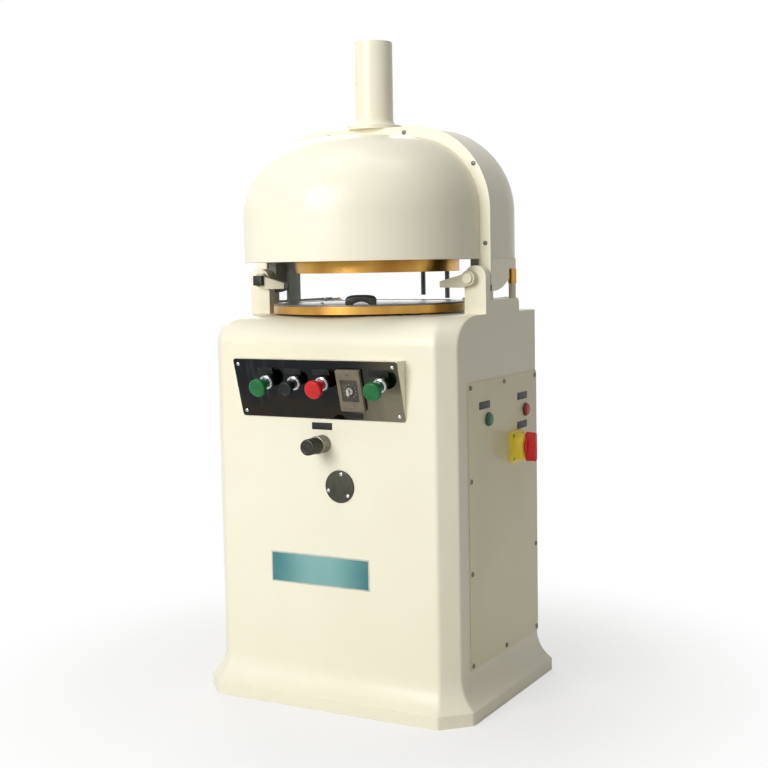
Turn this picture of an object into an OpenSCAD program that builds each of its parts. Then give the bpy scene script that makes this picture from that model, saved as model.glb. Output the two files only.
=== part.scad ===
// Dough divider rounder: cast cabinet, orbiting table and hydraulic head that tilts back.
// Origin on the floor under the table axis, +Z up, the operator stands at -Y.

/* [Cabinet] */
// Width of the cabinet above its foot
body_w = 600; // [580:1:680]
// Depth of the cabinet above its foot
body_d = 484; // [460:1:560]
// Height of the cabinet's flat top
body_h = 846; // [800:1:900]
// Wall of the casting
wall = 9; // [8:0.5:12]
// Thickness of the cabinet's top
top_t = 12; // [10:0.5:15]
// Flat cut across each upright corner
corner_cut = 36; // [28:1:46]
// Radius of the front top edge
top_round = 62; // [50:1:70]

/* [Foot] */
// How far the foot stands out past the walls
foot_out = 32; // [24:1:40]
// Height of the foot's upright edge
foot_edge_h = 27; // [20:1:40]
// Height of the hollow curve above the foot's edge
cove_h = 65; // [50:1:80]
// Flat cut across each corner of the foot
foot_corner_cut = 57; // [50:1:66]

/* [Table] */
// Distance from the table's edge to the side of the cabinet
table_in = 80; // [76:1:90]
// Height of the table's rim
table_rim_h = 17; // [16.5:0.5:18.5]
// Throw of the crank that makes the table orbit
orbit_r = 18; // [12:0.5:20]
// Thickness of the moulding plate
plate_t = 6; // [4:0.5:8]
// Distance from the idler cranks to the table's edge
idler_in = 70; // [60:1:80]

/* [Head] */
// Open height between the moulding plate and the chamber ring
dough_gap = 67; // [60:1:80]
// How far the chamber ring shows below the dome
ring_show = 26; // [18:1:32]
// Distance from the dome's side to the side of the cabinet
dome_in = 25; // [20:1:35]
// Height of the front dome above its rim
dome_h = 268; // [260:1:290]
// Shoulder radius of the dome
dome_round = 165; // [140:1:180]
// Height of the flange arch above the dome's rim
arch_h = 291; // [286:1:320]
// Shoulder radius of the flange arch
arch_round = 188; // [160:1:200]
// Distance from the chamber ring to the back of the rear hood
hood_behind = 53; // [49:1:55]
// Sheet thickness of the head covers
sheet = 4; // [3:0.5:5]
// Diameter of the tube on top of the head
tube_d = 86; // [84:1:100]
// Height of the tube above the arch
tube_h = 193; // [170:1:230]

/* [Divider] */
// Distance from the chamber ring to the table's edge
ring_in = 33; // [30:1:36]
// Wall of the chamber ring
ring_wall = 12; // [10:0.5:14]
// Height of the chamber ring
ring_h = 52; // [44:1:60]
// Thickness of the knife blades
blade_t = 2.5; // [2:0.1:3]
// Down stroke of the knife grid
knife_stroke = 70; // [60:1:76]
// Down stroke of the press plates
press_stroke = 65; // [55:1:72]

/* [Console] */
// Width of the console
console_w = 403; // [390:1:440]
// Height of the console
console_h = 127; // [120:1:140]
// How far the console's top stands out
console_out = 36; // [28:1:44]
// Distance from the cabinet's top down to the console's top
console_drop = 88; // [84:1:100]
// Spacing of the controls
control_pitch = 70; // [66:1:72]
// Diameter of the mushroom buttons
button_d = 40; // [36:1:44]

/* [Side cover] */
// Width of the side cover
cover_w = 368; // [340:1:380]
// Height of the side cover's lower edge
cover_low = 96; // [95:1:120]
// Distance from the cabinet's top down to the side cover's top
cover_drop = 140; // [120:1:160]

/* [Fits] */
// Radial running clearance of shafts and pins
fit_gap = 0.05; // [0.03:0.01:0.09]
// Clearance where pieces seat on each other
seat_gap = 0.3; // [0.2:0.05:0.3]

/* [Hidden] */
$fn = 96;
cut = 2;

// Sizes across, from the cabinet's width
half_w = body_w / 2;
table_d = body_w - 2 * table_in;
ring_d = table_d - 2 * ring_in;
dome_d = body_w - 2 * dome_in;
idler_ring_r = table_d / 2 - idler_in;
hood_back = ring_d / 2 + hood_behind;

// Levels of the table and the head
table_rise = 4;
web_rise = 6;
web_t = 9;
table_z = body_h + table_rise;
web_z = table_z + web_rise;
plate_z = web_z + web_t;
plate_top = plate_z + plate_t;
ring_z = plate_top + dough_gap;
rim_z = ring_z + ring_show;
dome_top = rim_z + dome_h;
arch_top = rim_z + arch_h;
tube_top = arch_top + tube_h;

// Table drive
crank_pin_r = 15;
hub_r = 32;
hub_gap = 3;
rim_w = 14;
plate_play = 0.3;
crank_web_r = 52;
crank_web_t = 12;
crank_well_r = 62;
crank_web_z = body_h - crank_web_t + web_rise / 3;
shaft_r = 20;
housing_flange_t = 12;
housing_r = 50;
housing_h = 144;
bearing_r = 36;
bearing_w = 23;
bearing_inset = 5;
housing_top = body_h - top_t;
housing_low = housing_top - housing_h;
weight_r = 105;
weight_t = 26;
weight_gap = 14;
weight_z = housing_low - weight_gap - weight_t;
pulley_r = 110;
pulley_t = 26;
pulley_gap = 18;
pulley_web = 10;
pulley_z = weight_z - pulley_gap - pulley_t;
shaft_tail = 8;
shaft_low = pulley_z - shaft_tail;
pulley_hub_r = 34;
belt_t = 8;
belt_w = 12;
groove_deep = 9;
belt_play = 0.2;
belt_lap = 0.5;
motor_pulley_r = 40;
motor_shaft_r = 9.5;
motor_shaft_in = 45;
motor_in = 110;
motor_x = motor_in - half_w;
motor_y = 60;
motor_r = 66;
motor_h = 230;
motor_flange_r = 80;
motor_flange_t = 10;
motor_rib_t = 3;
motor_rib_out = 6;
motor_ribs = 9;
bracket_t = 10;
bracket_drop = 8;
bracket_d = 190;
bracket_web_h = 60;
bracket_hole_r = 30;
motor_top = pulley_z - bracket_drop - bracket_t;
terminal_w = 70;
terminal_d = 30;
terminal_h = 80;

// Idler cranks
idler_journal_r = 10;
idler_pin_r = 9;
idler_web_r = 16;
idler_boss_r = 22;
housing_flange_gap = 12;
housing_flange_r = idler_ring_r - idler_boss_r - housing_flange_gap;
idler_boss_h = 24;
idler_pin_play = 0.25;
idler_angles = [90, 210, 330];
pin_top = plate_z - hub_gap / 2;

// Uprights, claws and head hinge
block_w = 50;
block_h = 30;
block_end = 128;
block_rear = hood_back - block_end;
block_round = 12;
flange_ahead = 40;
flange_t = 5;
ear_gap = 3;
ear_t = 23;
ear_front = flange_ahead + ear_gap + ear_t;
ear_h = 104;
ear_round = 25;
claw_t = 16;
claw_rise = 77;
claw_in = 35;
claw_reach = 66;
claw_nose = 12;
claw_boss_r = 16;
claw_pin_r = 6;
claw_head_r = 11;
claw_head_t = 4;
pad_t = 20;
pad_in = 6;
cheek_gap = 18.5;
cheek_r = 146;
cheek_arc_y = -25;
cheek_top = 60;
cheek_end = 182;
cheek_back = hood_back - cheek_end;
pivot_rise = 16;
pivot_in = 35;
pivot_y = hood_back - pivot_in;
pivot_z = body_h + pivot_rise;
knuckle_r = 14;
strap_gap = 2;
strap_w = 16;
strap_half = 14;
hinge_pin_r = 7;
bush_r = 10;
bush_flange_r = 13;
bush_flange_t = 3;
post_in = 19;
post_back = block_rear - post_in;
lug_w = 22;
lug_h = 22;
rest_post_r = 8;
rest_cap_r = 9.5;
rest_cap_h = 33;
arm_t = 7;
arm_d = 50;
arm_high = 40;
block_in = half_w - block_w;
block_top = body_h + block_h;
cheek_low = block_top + cheek_gap;
lug_low = rim_z - seat_gap - lug_h;
rest_cap_z = lug_low - seat_gap - rest_cap_h;
arm_out = block_in - seat_gap;
arm_in = arm_out - arm_t;
arm_front = cheek_back - arm_d;
strap_out = arm_in - strap_gap;
strap_in = strap_out - strap_w;

// Head frame and press
frame_t = 20;
frame_band = 46;
frame_front = -flange_ahead + flange_t + seat_gap;
tail_w = 28;
tail_tip = 4;
tail_h = 56;
tail_knee = 14;
knife_inset = 6;
platen_inset = 12;
platen_t = 12;
stack_gap = 4;
knife_plate_t = 10;
carrier_in = 17;
carrier_t = 14;
deck_gap = 16;
deck_t = 14;
deck_in = 38;
deck_half = half_w - deck_in;
deck_side_in = 164;
deck_side_back = hood_back - deck_side_in;
// Middle of the wide deck, where the slide rods pass
deck_mid_y = (frame_front + deck_side_back) / 2;
deck_rear_half = half_w - arch_round;
post_r = 5;
post_play = 0.6;
blade_play = 0.4;
platen_play = 1;
knife_low = ring_z + knife_inset;
platen_low = ring_z + platen_inset;
platen_top = platen_low + platen_t;
knife_plate_z = platen_top + knife_stroke + stack_gap;
carrier_z = knife_plate_z + knife_plate_t + press_stroke + stack_gap;
deck_z = carrier_z + carrier_t + deck_gap;
deck_top = deck_z + deck_t;
chamber_r = ring_d / 2 - ring_wall;
carrier_r = chamber_r - carrier_in;
platen_r = chamber_r - platen_play;
// Equal cells: 6 inside, 12 between, 18 outside
cells = [6, 12, 18];
inner_share = sqrt(6 / 36);
outer_share = sqrt(18 / 36);
cell_r = [0, platen_r * inner_share, platen_r * outer_share, platen_r];
post_share = 0.62;
knife_rod_r = 6;
knife_rod_in = 60;
knife_rod_x = chamber_r - knife_rod_in;
knife_rod_behind = 9.35;
knife_rod_y = deck_mid_y + knife_rod_behind;
rod_play = 1;
rod_left = 4;
ring_rod_r = 5.5;
ring_rod_ahead = 0.65;
ring_rod_y = deck_mid_y - ring_rod_ahead;
ring_rod_x = ring_d / 2 - ring_wall / 2;
stroke_left = 1;
ring_stroke = dough_gap - stroke_left;
cylinder_r = 33;
cylinder_bore_r = 29;
cylinder_foot = 20;
cylinder_gap = 8;
ram_r = 17;
piston_t = 28;
piston_gap = 8;
tube_wall = 3.5;
tube_cap_t = 6;
tube_flange_out = 19;
tube_flange_t = 8;
tube_fillet = 15;
feeler_r = 5.5;
feeler_side = [99, 26];
feeler_x = [deck_rear_half - feeler_side[0], deck_rear_half - feeler_side[1]];
feeler_gap = 17.4;
feeler_y = [for (x = feeler_x) sqrt(pow(ring_d / 2 + feeler_gap, 2) - x * x)];
feeler_rise = [10, 2.5];

// Console and controls
front_y = -body_d / 2;
console_x = -5;
console_sheet = 3;
console_top = body_h - console_drop;
console_low = console_top - console_h;
panel_t = 2.5;
panel_round = 6;
panel_len = norm([console_h, console_out]);
panel_tilt = atan2(console_out, console_h);
control_shift = 15;
button_up = 14;
timer_up = 2;
window_in = 20;
window_edge = 14;
stem_r = 11;
stem_in = 20;
stem_play = 0.2;
collar_r = 16;
collar_t = 6;
button_rise = 22;
button_head_h = 14;
button_dome = 4;
flat_button_r = 15;
flat_button_h = 9;
timer_w = 58;
timer_h = 92;
timer_t = 8;
timer_face_w = 40;
timer_face_h = 48;
timer_face_deep = 2;
timer_body_in = 16;
timer_knob_r = 8;
timer_knob_h = 12;
timer_spindle_r = 3;
timer_grip_w = 3;
adjuster_x = -5;
adjuster_drop = 55;
adjuster_collar_r = 19.5;
adjuster_collar_h = 28;
adjuster_r = 17.5;
adjuster_h = 38;
adjuster_spindle_r = 8;
adjuster_groove = 1.5;
adjuster_flutes = 18;
disc_x = 35;
disc_drop = 145;
disc_r = 35;
disc_t = 4;
disc_hole_r = 26;

// Side and rear service covers
side_x = body_w / 2;
cover_t = 2;
cover_y = 20;
cover_in = 24;
cover_top = body_h - cover_drop;
screw_r = 5.5;
screw_h = 3;
screw_dome = 2;
screw_in = 10;
screw_rows = 4;
side_button_drop = 84;
side_green_y = -66;
side_red_y = 137;
side_bezel_r = 15;
side_bezel_t = 4;
side_button_r = 11.5;
side_button_out = 9;
side_button_in = 18;
isolator_y = 78;
isolator_drop = 160;
isolator_w = 70;
isolator_t = 8;
isolator_round = 8;
isolator_cone_r = 31;
isolator_cone_tip_r = 27;
isolator_cone_h = 7;
isolator_body_w = 56;
isolator_body_in = 48;
isolator_spindle_r = 6;
handle_disc_r = 25;
handle_disc_t = 10;
handle_grip_w = 17;
handle_grip_l = 66;
handle_grip_t = 36;
rear_side = 80;
rear_w = body_w - 2 * rear_side;
rear_low = 130;
rear_drop = 190;
rear_in = 24;
slot_l = 130;
slot_h = 7;
slot_pitch = 22;
slot_rows = 7;
slot_x = 95;
slot_low = 60;
gland_side = 55;
gland_x = half_w - gland_side;
gland_z = 165;
gland_r = 15;
gland_out = 18;
gland_cap_r = 12;
gland_cap_out = 12;
gland_bore_r = 6;
gland_spigot_r = 10;

// Plate, handle and pins
plate_over = 1;
plate_r = table_d / 2 - plate_over;
spigot_r = table_d / 2 - rim_w - plate_play;
rim_top = table_z + table_rim_h;
plate_dish = 1.5;
plate_edge = 12;
grip_l = 66;
grip_w = 22;
grip_h = 13;
grip_out = 5;
grip_foot_l = 44;
grip_foot_w = 12;
grip_foot_h = 8;
grip_angle = 24;
pin_r = 4;
pin_h = 6;

// Hydraulic unit
base_t = 10;
tank_side = 160;
tank_x = half_w - tank_side;
tank_w = 220;
tank_d = 300;
tank_h = 180;
tank_wall = 4;
lid_t = 8;
lid_out = 6;
pump_y = 60;
pump_r = 60;
pump_h = 190;
pump_flange_r = 72;
pump_flange_t = 10;
valve_y = -80;
valve_w = 110;
valve_d = 70;
valve_h = 70;
coil_r = 18;
coil_l = 46;

// Shared shapes

// Children as drawn and once more on the left side
module both_sides() {
  children();
  mirror([1, 0, 0]) children();
}

// Outline drawn in Y and Z, pushed along X between two places
module along_x(from, to) {
  translate([from, 0, 0]) rotate([90, 0, 90]) linear_extrude(to - from) children();
}

// Outline drawn in X and Z, pushed along Y between two places
module along_y(from, to) {
  translate([0, to, 0]) rotate([90, 0, 0]) linear_extrude(to - from) children();
}

// Rectangle on its centre with round corners
module round_rect(w, h, r) {
  square([w - 2 * r, h], center = true);
  square([w, h - 2 * r], center = true);
  for (x = [-1, 1], y = [-1, 1]) translate([x * (w / 2 - r), y * (h / 2 - r)]) circle(r);
}

// Long outline with half-round ends
module stadium(l, w) {
  square([l - w, w], center = true);
  for (x = [-1, 1]) translate([x * (l - w) / 2, 0]) circle(d = w);
}

// Rectangle with its four corners cut flat
module cut_rect(w, d, c) {
  x = w / 2;
  y = d / 2;
  polygon([
    [x, c - y], [x, y - c], [x - c, y], [c - x, y],
    [-x, y - c], [-x, c - y], [c - x, -y], [x - c, -y]
  ]);
}

// Upright-sided arch with round shoulders
module arch(half, low, top, r) {
  translate([-half, low]) square([2 * half, top - r - low]);
  intersection() {
    union() {
      translate([r - half, low]) square([2 * (half - r), top - low]);
      for (s = [-1, 1]) translate([s * (half - r), top - r]) circle(r);
    }
    translate([-half, low]) square([2 * half, top - low]);
  }
}

// Ring between two radii
module ring(outer, inner, h) {
  difference() {
    cylinder(r = outer, h = h);
    translate([0, 0, -cut]) cylinder(r = inner, h = h + 2 * cut);
  }
}

// Frame of the console's panel: local Z points out of the panel, local Y up its slope
module on_panel(x, up) {
  translate([console_x + x, front_y - console_out / 2, (console_low + console_top) / 2])
    rotate([90 + panel_tilt, 0, 0]) translate([0, up, 0]) children();
}

// Frame on the cabinet's front: local Z points to the operator
module on_front(x, z) {
  translate([x, front_y, z]) rotate([90, 0, 0]) children();
}

// Frame on the right side cover: local Z points out, local X to the back
module on_side(y, z) {
  translate([side_x + cover_t, y, z]) rotate([90, 0, 90]) children();
}

// Cabinet

// Wall outline with the foot's hollow curve, drawn across one direction
module flared_outline(half, out) {
  cove_r = (cove_h * cove_h + out * out) / (2 * out);
  cove_top = foot_edge_h + cove_h;
  difference() {
    union() {
      translate([-half, 0]) square([2 * half, body_h]);
      translate([-half - out, 0]) square([2 * (half + out), cove_top]);
    }
    for (s = [-1, 1]) translate([s * (half + cove_r), cove_top]) circle(cove_r);
  }
}

// What a round edge of radius r takes off a square corner that points to -X and +Y
module corner_waste(r) {
  difference() {
    translate([-cut, 0]) square([r + cut, r + cut]);
    translate([r, 0]) circle(r);
  }
}

module cabinet_outer() {
  reach = body_w + body_d;
  diagonal_half = (half_w + body_d / 2 - corner_cut) / sqrt(2);
  diagonal_out = (2 * foot_out - foot_corner_cut + corner_cut) / sqrt(2);
  intersection() {
    along_x(-reach, reach) difference() {
      flared_outline(body_d / 2, foot_out);
      translate([front_y, body_h - top_round]) corner_waste(top_round);
    }
    along_y(-reach, reach) flared_outline(half_w, foot_out);
    rotate([0, 0, 45]) along_y(-reach, reach) flared_outline(diagonal_half, diagonal_out);
    rotate([0, 0, -45]) along_y(-reach, reach) flared_outline(diagonal_half, diagonal_out);
  }
}

module cabinet_cavity() {
  reach = body_w;
  inner_round = top_round - wall;
  cavity_top = body_h - top_t;
  intersection() {
    translate([0, 0, -cut]) linear_extrude(cavity_top + cut) cavity_plan(0);
    along_x(-reach, reach) difference() {
      translate([-reach, -2 * cut]) square([2 * reach, cavity_top + 2 * cut]);
      translate([front_y + wall, cavity_top - inner_round]) corner_waste(inner_round);
    }
  }
}

// Plan of the hollow inside the cabinet, drawn in by a gap
module cavity_plan(gap) {
  inner_cut = corner_cut - wall * (2 - sqrt(2));
  cut_rect(body_w - 2 * wall - 2 * gap, body_d - 2 * wall - 2 * gap, inner_cut);
}

function idler_place(a) = [idler_ring_r * cos(a), idler_ring_r * sin(a), 0];

module cabinet() {
  side_open_w = cover_w - 2 * cover_in;
  side_open_h = cover_top - cover_low - 2 * cover_in;
  rear_h = body_h - rear_drop - rear_low;
  color("ivory") difference() {
    union() {
      difference() {
        cabinet_outer();
        cabinet_cavity();
      }
      for (a = idler_angles) translate(idler_place(a)) {
        translate([0, 0, body_h - top_t - idler_boss_h])
          cylinder(r = idler_boss_r, h = idler_boss_h + top_t / 2);
      }
    }
    translate([0, 0, body_h - top_t - cut]) cylinder(r = crank_well_r, h = top_t + 2 * cut);
    for (a = idler_angles) translate(idler_place(a)) {
      translate([0, 0, body_h / 2]) cylinder(r = idler_journal_r + fit_gap, h = body_h);
    }
    translate([half_w - wall - cut, cover_y - side_open_w / 2, cover_low + cover_in])
      cube([wall + 2 * cut, side_open_w, side_open_h]);
    translate([rear_in - rear_w / 2, body_d / 2 - wall - cut, rear_low + rear_in])
      cube([rear_w - 2 * rear_in, wall + 2 * cut, rear_h - 2 * rear_in]);
    translate([console_x - console_w / 2 + window_in, front_y - cut, console_low + window_edge])
      cube([console_w - 2 * window_in, wall + 2 * cut, console_h - 2 * window_edge]);
    on_front(adjuster_x, console_low - adjuster_drop) translate([0, 0, -wall - cut])
      cylinder(r = adjuster_spindle_r + seat_gap, h = wall + 2 * cut);
    on_front(disc_x, console_low - disc_drop) translate([0, 0, -wall - cut])
      cylinder(r = disc_hole_r, h = wall + 2 * cut);
    translate([gland_x, body_d / 2 - wall - cut, gland_z]) rotate([-90, 0, 0])
      cylinder(r = gland_spigot_r + fit_gap, h = wall + 2 * cut);
  }
}

module base_plate() {
  color("dimgray") linear_extrude(base_t) cavity_plan(seat_gap);
}

// Service covers

module right_cover() {
  cover_h = cover_top - cover_low;
  color("ivory") difference() {
    translate([0, cover_y, (cover_low + cover_top) / 2]) along_x(side_x, side_x + cover_t)
      round_rect(cover_w, cover_h, screw_h);
    for (y = [side_green_y, side_red_y]) on_side(y, cover_top - side_button_drop)
      translate([0, 0, -cover_t - cut]) cylinder(r = side_button_r + stem_play, h = cover_t + 2 * cut);
    on_side(isolator_y, cover_top - isolator_drop) translate([0, 0, -cover_t - cut])
      linear_extrude(cover_t + 2 * cut) square(isolator_body_w + 2 * seat_gap, center = true);
  }
}

module rear_panel() {
  rear_h = body_h - rear_drop - rear_low;
  color("ivory") difference() {
    translate([0, 0, rear_low + rear_h / 2]) along_y(body_d / 2, body_d / 2 + cover_t)
      round_rect(rear_w, rear_h, screw_h);
    for (x = [-slot_x, slot_x], i = [0 : slot_rows - 1])
      translate([x, 0, rear_low + slot_low + i * slot_pitch])
        along_y(body_d / 2 - cut, body_d / 2 + cover_t + cut) stadium(slot_l, slot_h);
  }
}

// Cylinder with a domed top, standing on Z = 0
module round_cap(r, h, dome) {
  dome_r = (r * r + dome * dome) / (2 * dome);
  intersection() {
    cylinder(r = r, h = h);
    translate([0, 0, h - dome_r]) sphere(dome_r);
  }
}

module cover_screw() {
  round_cap(screw_r, screw_h, screw_dome);
}

module cover_screws() {
  span_w = cover_w - 2 * screw_in;
  span_h = cover_top - cover_low - 2 * screw_in;
  rear_span_w = rear_w - 2 * screw_in;
  rear_screw_z = rear_low + screw_in;
  rear_span_h = body_h - rear_drop - rear_low - 2 * screw_in;
  color("silver") {
    for (s = [-1, 1], i = [0 : screw_rows - 1])
      on_side(cover_y + s * span_w / 2, cover_low + screw_in + i * span_h / (screw_rows - 1)) cover_screw();
    for (z = [cover_low + screw_in, cover_top - screw_in]) on_side(cover_y, z) cover_screw();
    for (s = [-1, 1], i = [0 : screw_rows - 1])
      translate([s * rear_span_w / 2, body_d / 2 + cover_t, rear_screw_z + i * rear_span_h / (screw_rows - 1)])
        rotate([-90, 0, 0]) cover_screw();
  }
}

module cable_gland() {
  color("dimgray") translate([gland_x, body_d / 2, gland_z]) rotate([-90, 0, 0]) difference() {
    union() {
      translate([0, 0, -wall]) cylinder(r = gland_spigot_r, h = wall + cut);
      cylinder(r = gland_r, h = gland_out, $fn = 6);
      cylinder(r = gland_cap_r, h = gland_out + gland_cap_out);
    }
    translate([0, 0, -wall - cut]) cylinder(r = gland_bore_r, h = wall + gland_out + gland_cap_out + 2 * cut);
  }
}

// Uprights with their ears, claws and the hinge of the head

module upright() {
  claw_x = half_w - claw_in;
  claw_z = body_h + claw_rise;
  along_x(block_in, half_w) difference() {
    translate([-ear_front, body_h]) square([ear_front + block_rear, block_h]);
    translate([block_rear, block_top - block_round]) mirror([1, 0]) corner_waste(block_round);
  }
  along_y(-ear_front, ear_t - ear_front) {
    translate([block_in, body_h]) square([block_w, ear_h - ear_round]);
    translate([half_w - ear_round, body_h + ear_h - ear_round]) circle(ear_round);
  }
  translate([block_in + pad_in, frame_front, body_h])
    cube([block_w - 2 * pad_in, pad_t, cheek_low - seat_gap - body_h]);
  translate([half_w - rest_post_r, post_back, body_h]) cylinder(r = rest_post_r, h = rest_cap_z - body_h);
  translate([claw_x, ear_t - ear_front, claw_z]) rotate([90, 0, 0]) {
    cylinder(r = claw_pin_r, h = ear_t + claw_t + 2 * seat_gap);
    translate([0, 0, ear_t + claw_t + 2 * seat_gap]) cylinder(r = claw_head_r, h = claw_head_t);
  }
}

module upright_right() {
  color("ivory") upright();
}

module upright_left() {
  color("ivory") mirror([1, 0, 0]) upright();
}

// Tapered claw on its boss; the nose points inwards over the plate's rim
module claw() {
  claw_front = -ear_front - seat_gap - claw_t;
  nose_low_share = 1.6;
  back_share = 0.5;
  translate([half_w - claw_in, 0, body_h + claw_rise]) difference() {
    along_y(claw_front, claw_front + claw_t) {
      circle(claw_boss_r);
      polygon([
        [claw_boss_r * back_share, claw_boss_r * (1 - back_share / 4)],
        [-claw_reach, -claw_nose * back_share],
        [-claw_reach, -claw_nose * nose_low_share],
        [-claw_boss_r, -claw_boss_r * (1 + back_share / 2)],
        [claw_boss_r * back_share, -claw_boss_r * (1 - back_share / 4)]
      ]);
    }
    translate([0, claw_front - cut, 0]) rotate([-90, 0, 0])
      cylinder(r = claw_pin_r + fit_gap, h = claw_t + 2 * cut);
  }
}

module claw_right() {
  color("ivory") claw();
}

module claw_left() {
  color("ivory") mirror([1, 0, 0]) claw();
}

module hinge_straps() {
  color("ivory") both_sides() difference() {
    along_x(strap_in, strap_out) {
      translate([pivot_y - strap_half, body_h]) square([2 * strap_half, pivot_z - body_h]);
      translate([pivot_y, pivot_z]) circle(strap_half);
    }
    along_x(strap_in - cut, strap_out + cut) translate([pivot_y, pivot_z]) circle(bush_r + fit_gap);
  }
}

// Brass bushes of the rear hinge, and the brass caps of the rest posts
module hinge_bushes() {
  flange_in = strap_in - bush_flange_t;
  color("gold") both_sides() {
    difference() {
      union() {
        along_x(flange_in, strap_out) translate([pivot_y, pivot_z]) circle(bush_r);
        along_x(flange_in, strap_in - fit_gap) translate([pivot_y, pivot_z]) circle(bush_flange_r);
      }
      along_x(flange_in - cut, strap_out + cut) translate([pivot_y, pivot_z]) circle(hinge_pin_r + fit_gap);
    }
    translate([half_w - rest_post_r, post_back, rest_cap_z]) cylinder(r = rest_cap_r, h = rest_cap_h);
  }
}

// Bent arms bolted to the cheeks, which run back beside the table to the pins of the rear hinge
module hinge_arms() {
  arm_low = pivot_z - knuckle_r;
  head_x = strap_in - bush_flange_t - seat_gap;
  color("gray") both_sides() {
    along_x(arm_in, arm_out) {
      translate([arm_front, arm_low]) square([arm_d, rim_z + arm_high - arm_low]);
      translate([arm_front, arm_low]) square([pivot_y - arm_front, 2 * knuckle_r]);
      translate([pivot_y, pivot_z]) circle(knuckle_r);
    }
    along_x(head_x, arm_in + cut) translate([pivot_y, pivot_z]) circle(hinge_pin_r);
    along_x(head_x - bush_flange_t, head_x) translate([pivot_y, pivot_z]) circle(bush_r);
  }
}

// Console and controls

module console_box() {
  inner_w = console_w - 2 * console_sheet;
  color("ivory") difference() {
    along_x(console_x - console_w / 2, console_x + console_w / 2)
      polygon([[front_y, console_low], [front_y, console_top], [front_y - console_out, console_top]]);
    translate([console_x - inner_w / 2, front_y - console_out - cut, console_low - cut])
      cube([inner_w, console_out + 2 * cut, console_h - console_sheet + cut]);
  }
}

// Places of the controls along the panel, from left to right
control_places = [for (i = [-2 : 2]) control_shift + i * control_pitch];
button_places = [for (i = [0, 1, 2, 4]) control_places[i]];
timer_place = control_places[3];

module panel_plate() {
  color("black") difference() {
    on_panel(0, 0) linear_extrude(panel_t) round_rect(console_w, panel_len, panel_round);
    for (x = button_places) on_panel(x, button_up) translate([0, 0, -cut])
      cylinder(r = stem_r + stem_play, h = panel_t + 2 * cut);
    on_panel(timer_place, timer_up) translate([0, 0, -cut]) linear_extrude(panel_t + 2 * cut)
      square([timer_face_w, timer_face_h], center = true);
  }
}

module button_collars() {
  color("black") for (x = button_places) on_panel(x, button_up) translate([0, 0, panel_t])
    ring(collar_r, stem_r + fit_gap, collar_t);
}

// Mushroom head on its stem, standing on the panel's frame
module mushroom_button() {
  head_z = panel_t + collar_t + button_rise;
  translate([0, 0, -stem_in]) cylinder(r = stem_r, h = stem_in + head_z + cut);
  translate([0, 0, head_z]) round_cap(button_d / 2, button_head_h, button_dome);
}

// Low flat button on its stem
module flat_button() {
  head_z = panel_t + collar_t + button_rise;
  translate([0, 0, -stem_in]) cylinder(r = stem_r, h = stem_in + head_z + cut);
  translate([0, 0, head_z]) cylinder(r = flat_button_r, h = flat_button_h);
}

module green_button_left() {
  color("green") on_panel(button_places[0], button_up) mushroom_button();
}

module black_button() {
  color("black") on_panel(button_places[1], button_up) flat_button();
}

module red_button() {
  color("red") on_panel(button_places[2], button_up) mushroom_button();
}

module green_button_right() {
  color("green") on_panel(button_places[3], button_up) mushroom_button();
}

module timer_case() {
  color("tan") on_panel(timer_place, timer_up) difference() {
    union() {
      translate([0, 0, panel_t]) linear_extrude(timer_t) round_rect(timer_w, timer_h, timer_face_deep);
      translate([0, 0, -timer_body_in]) linear_extrude(timer_body_in + panel_t + cut)
        square([timer_face_w - 2 * seat_gap, timer_face_h - 2 * seat_gap], center = true);
    }
    translate([0, 0, panel_t + timer_t - timer_face_deep]) linear_extrude(timer_face_deep + cut)
      square([timer_face_w, timer_face_h], center = true);
    translate([0, 0, -timer_body_in / 2])
      cylinder(r = timer_spindle_r + fit_gap, h = timer_body_in + timer_t);
  }
}

module timer_knob() {
  knob_z = panel_t + timer_t - timer_face_deep + seat_gap;
  color("dimgray") on_panel(timer_place, timer_up) {
    translate([0, 0, seat_gap - timer_body_in / 2])
      cylinder(r = timer_spindle_r, h = knob_z + timer_body_in / 2);
    difference() {
      translate([0, 0, knob_z]) cylinder(r = timer_knob_r, h = timer_knob_h);
      for (s = [-1, 1]) translate([s * (timer_grip_w + timer_knob_r), 0, knob_z + timer_knob_h])
        cube([2 * timer_knob_r, 2 * timer_knob_r, timer_knob_h], center = true);
    }
  }
}

module adjuster_collar() {
  color("gray") on_front(adjuster_x, console_low - adjuster_drop)
    ring(adjuster_collar_r, adjuster_spindle_r + fit_gap, adjuster_collar_h);
}

module adjuster_knob() {
  knob_z = adjuster_collar_h + seat_gap;
  color("gray") on_front(adjuster_x, console_low - adjuster_drop) difference() {
    union() {
      translate([0, 0, -wall]) cylinder(r = adjuster_spindle_r, h = wall + knob_z + cut);
      translate([0, 0, knob_z]) cylinder(r = adjuster_r, h = adjuster_h);
    }
    for (i = [1 : adjuster_flutes]) rotate([0, 0, i * 360 / adjuster_flutes])
      translate([adjuster_r, 0, knob_z + adjuster_groove]) cylinder(r = adjuster_groove, h = adjuster_h);
  }
}

module inspection_disc() {
  color("dimgray") on_front(disc_x, console_low - disc_drop) {
    cylinder(r = disc_r, h = disc_t);
    translate([0, 0, -wall / 2]) cylinder(r = disc_hole_r - seat_gap, h = wall / 2 + cut);
  }
}

module side_bezels() {
  color("black") for (y = [side_green_y, side_red_y]) on_side(y, cover_top - side_button_drop)
    ring(side_bezel_r, side_button_r + fit_gap, side_bezel_t);
}

// Round push-button in the side cover
module side_button() {
  translate([0, 0, -side_button_in]) round_cap(side_button_r, side_button_in + side_button_out, button_dome);
}

module side_green_button() {
  color("green") on_side(side_green_y, cover_top - side_button_drop) side_button();
}

module side_red_button() {
  color("red") on_side(side_red_y, cover_top - side_button_drop) side_button();
}

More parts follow.
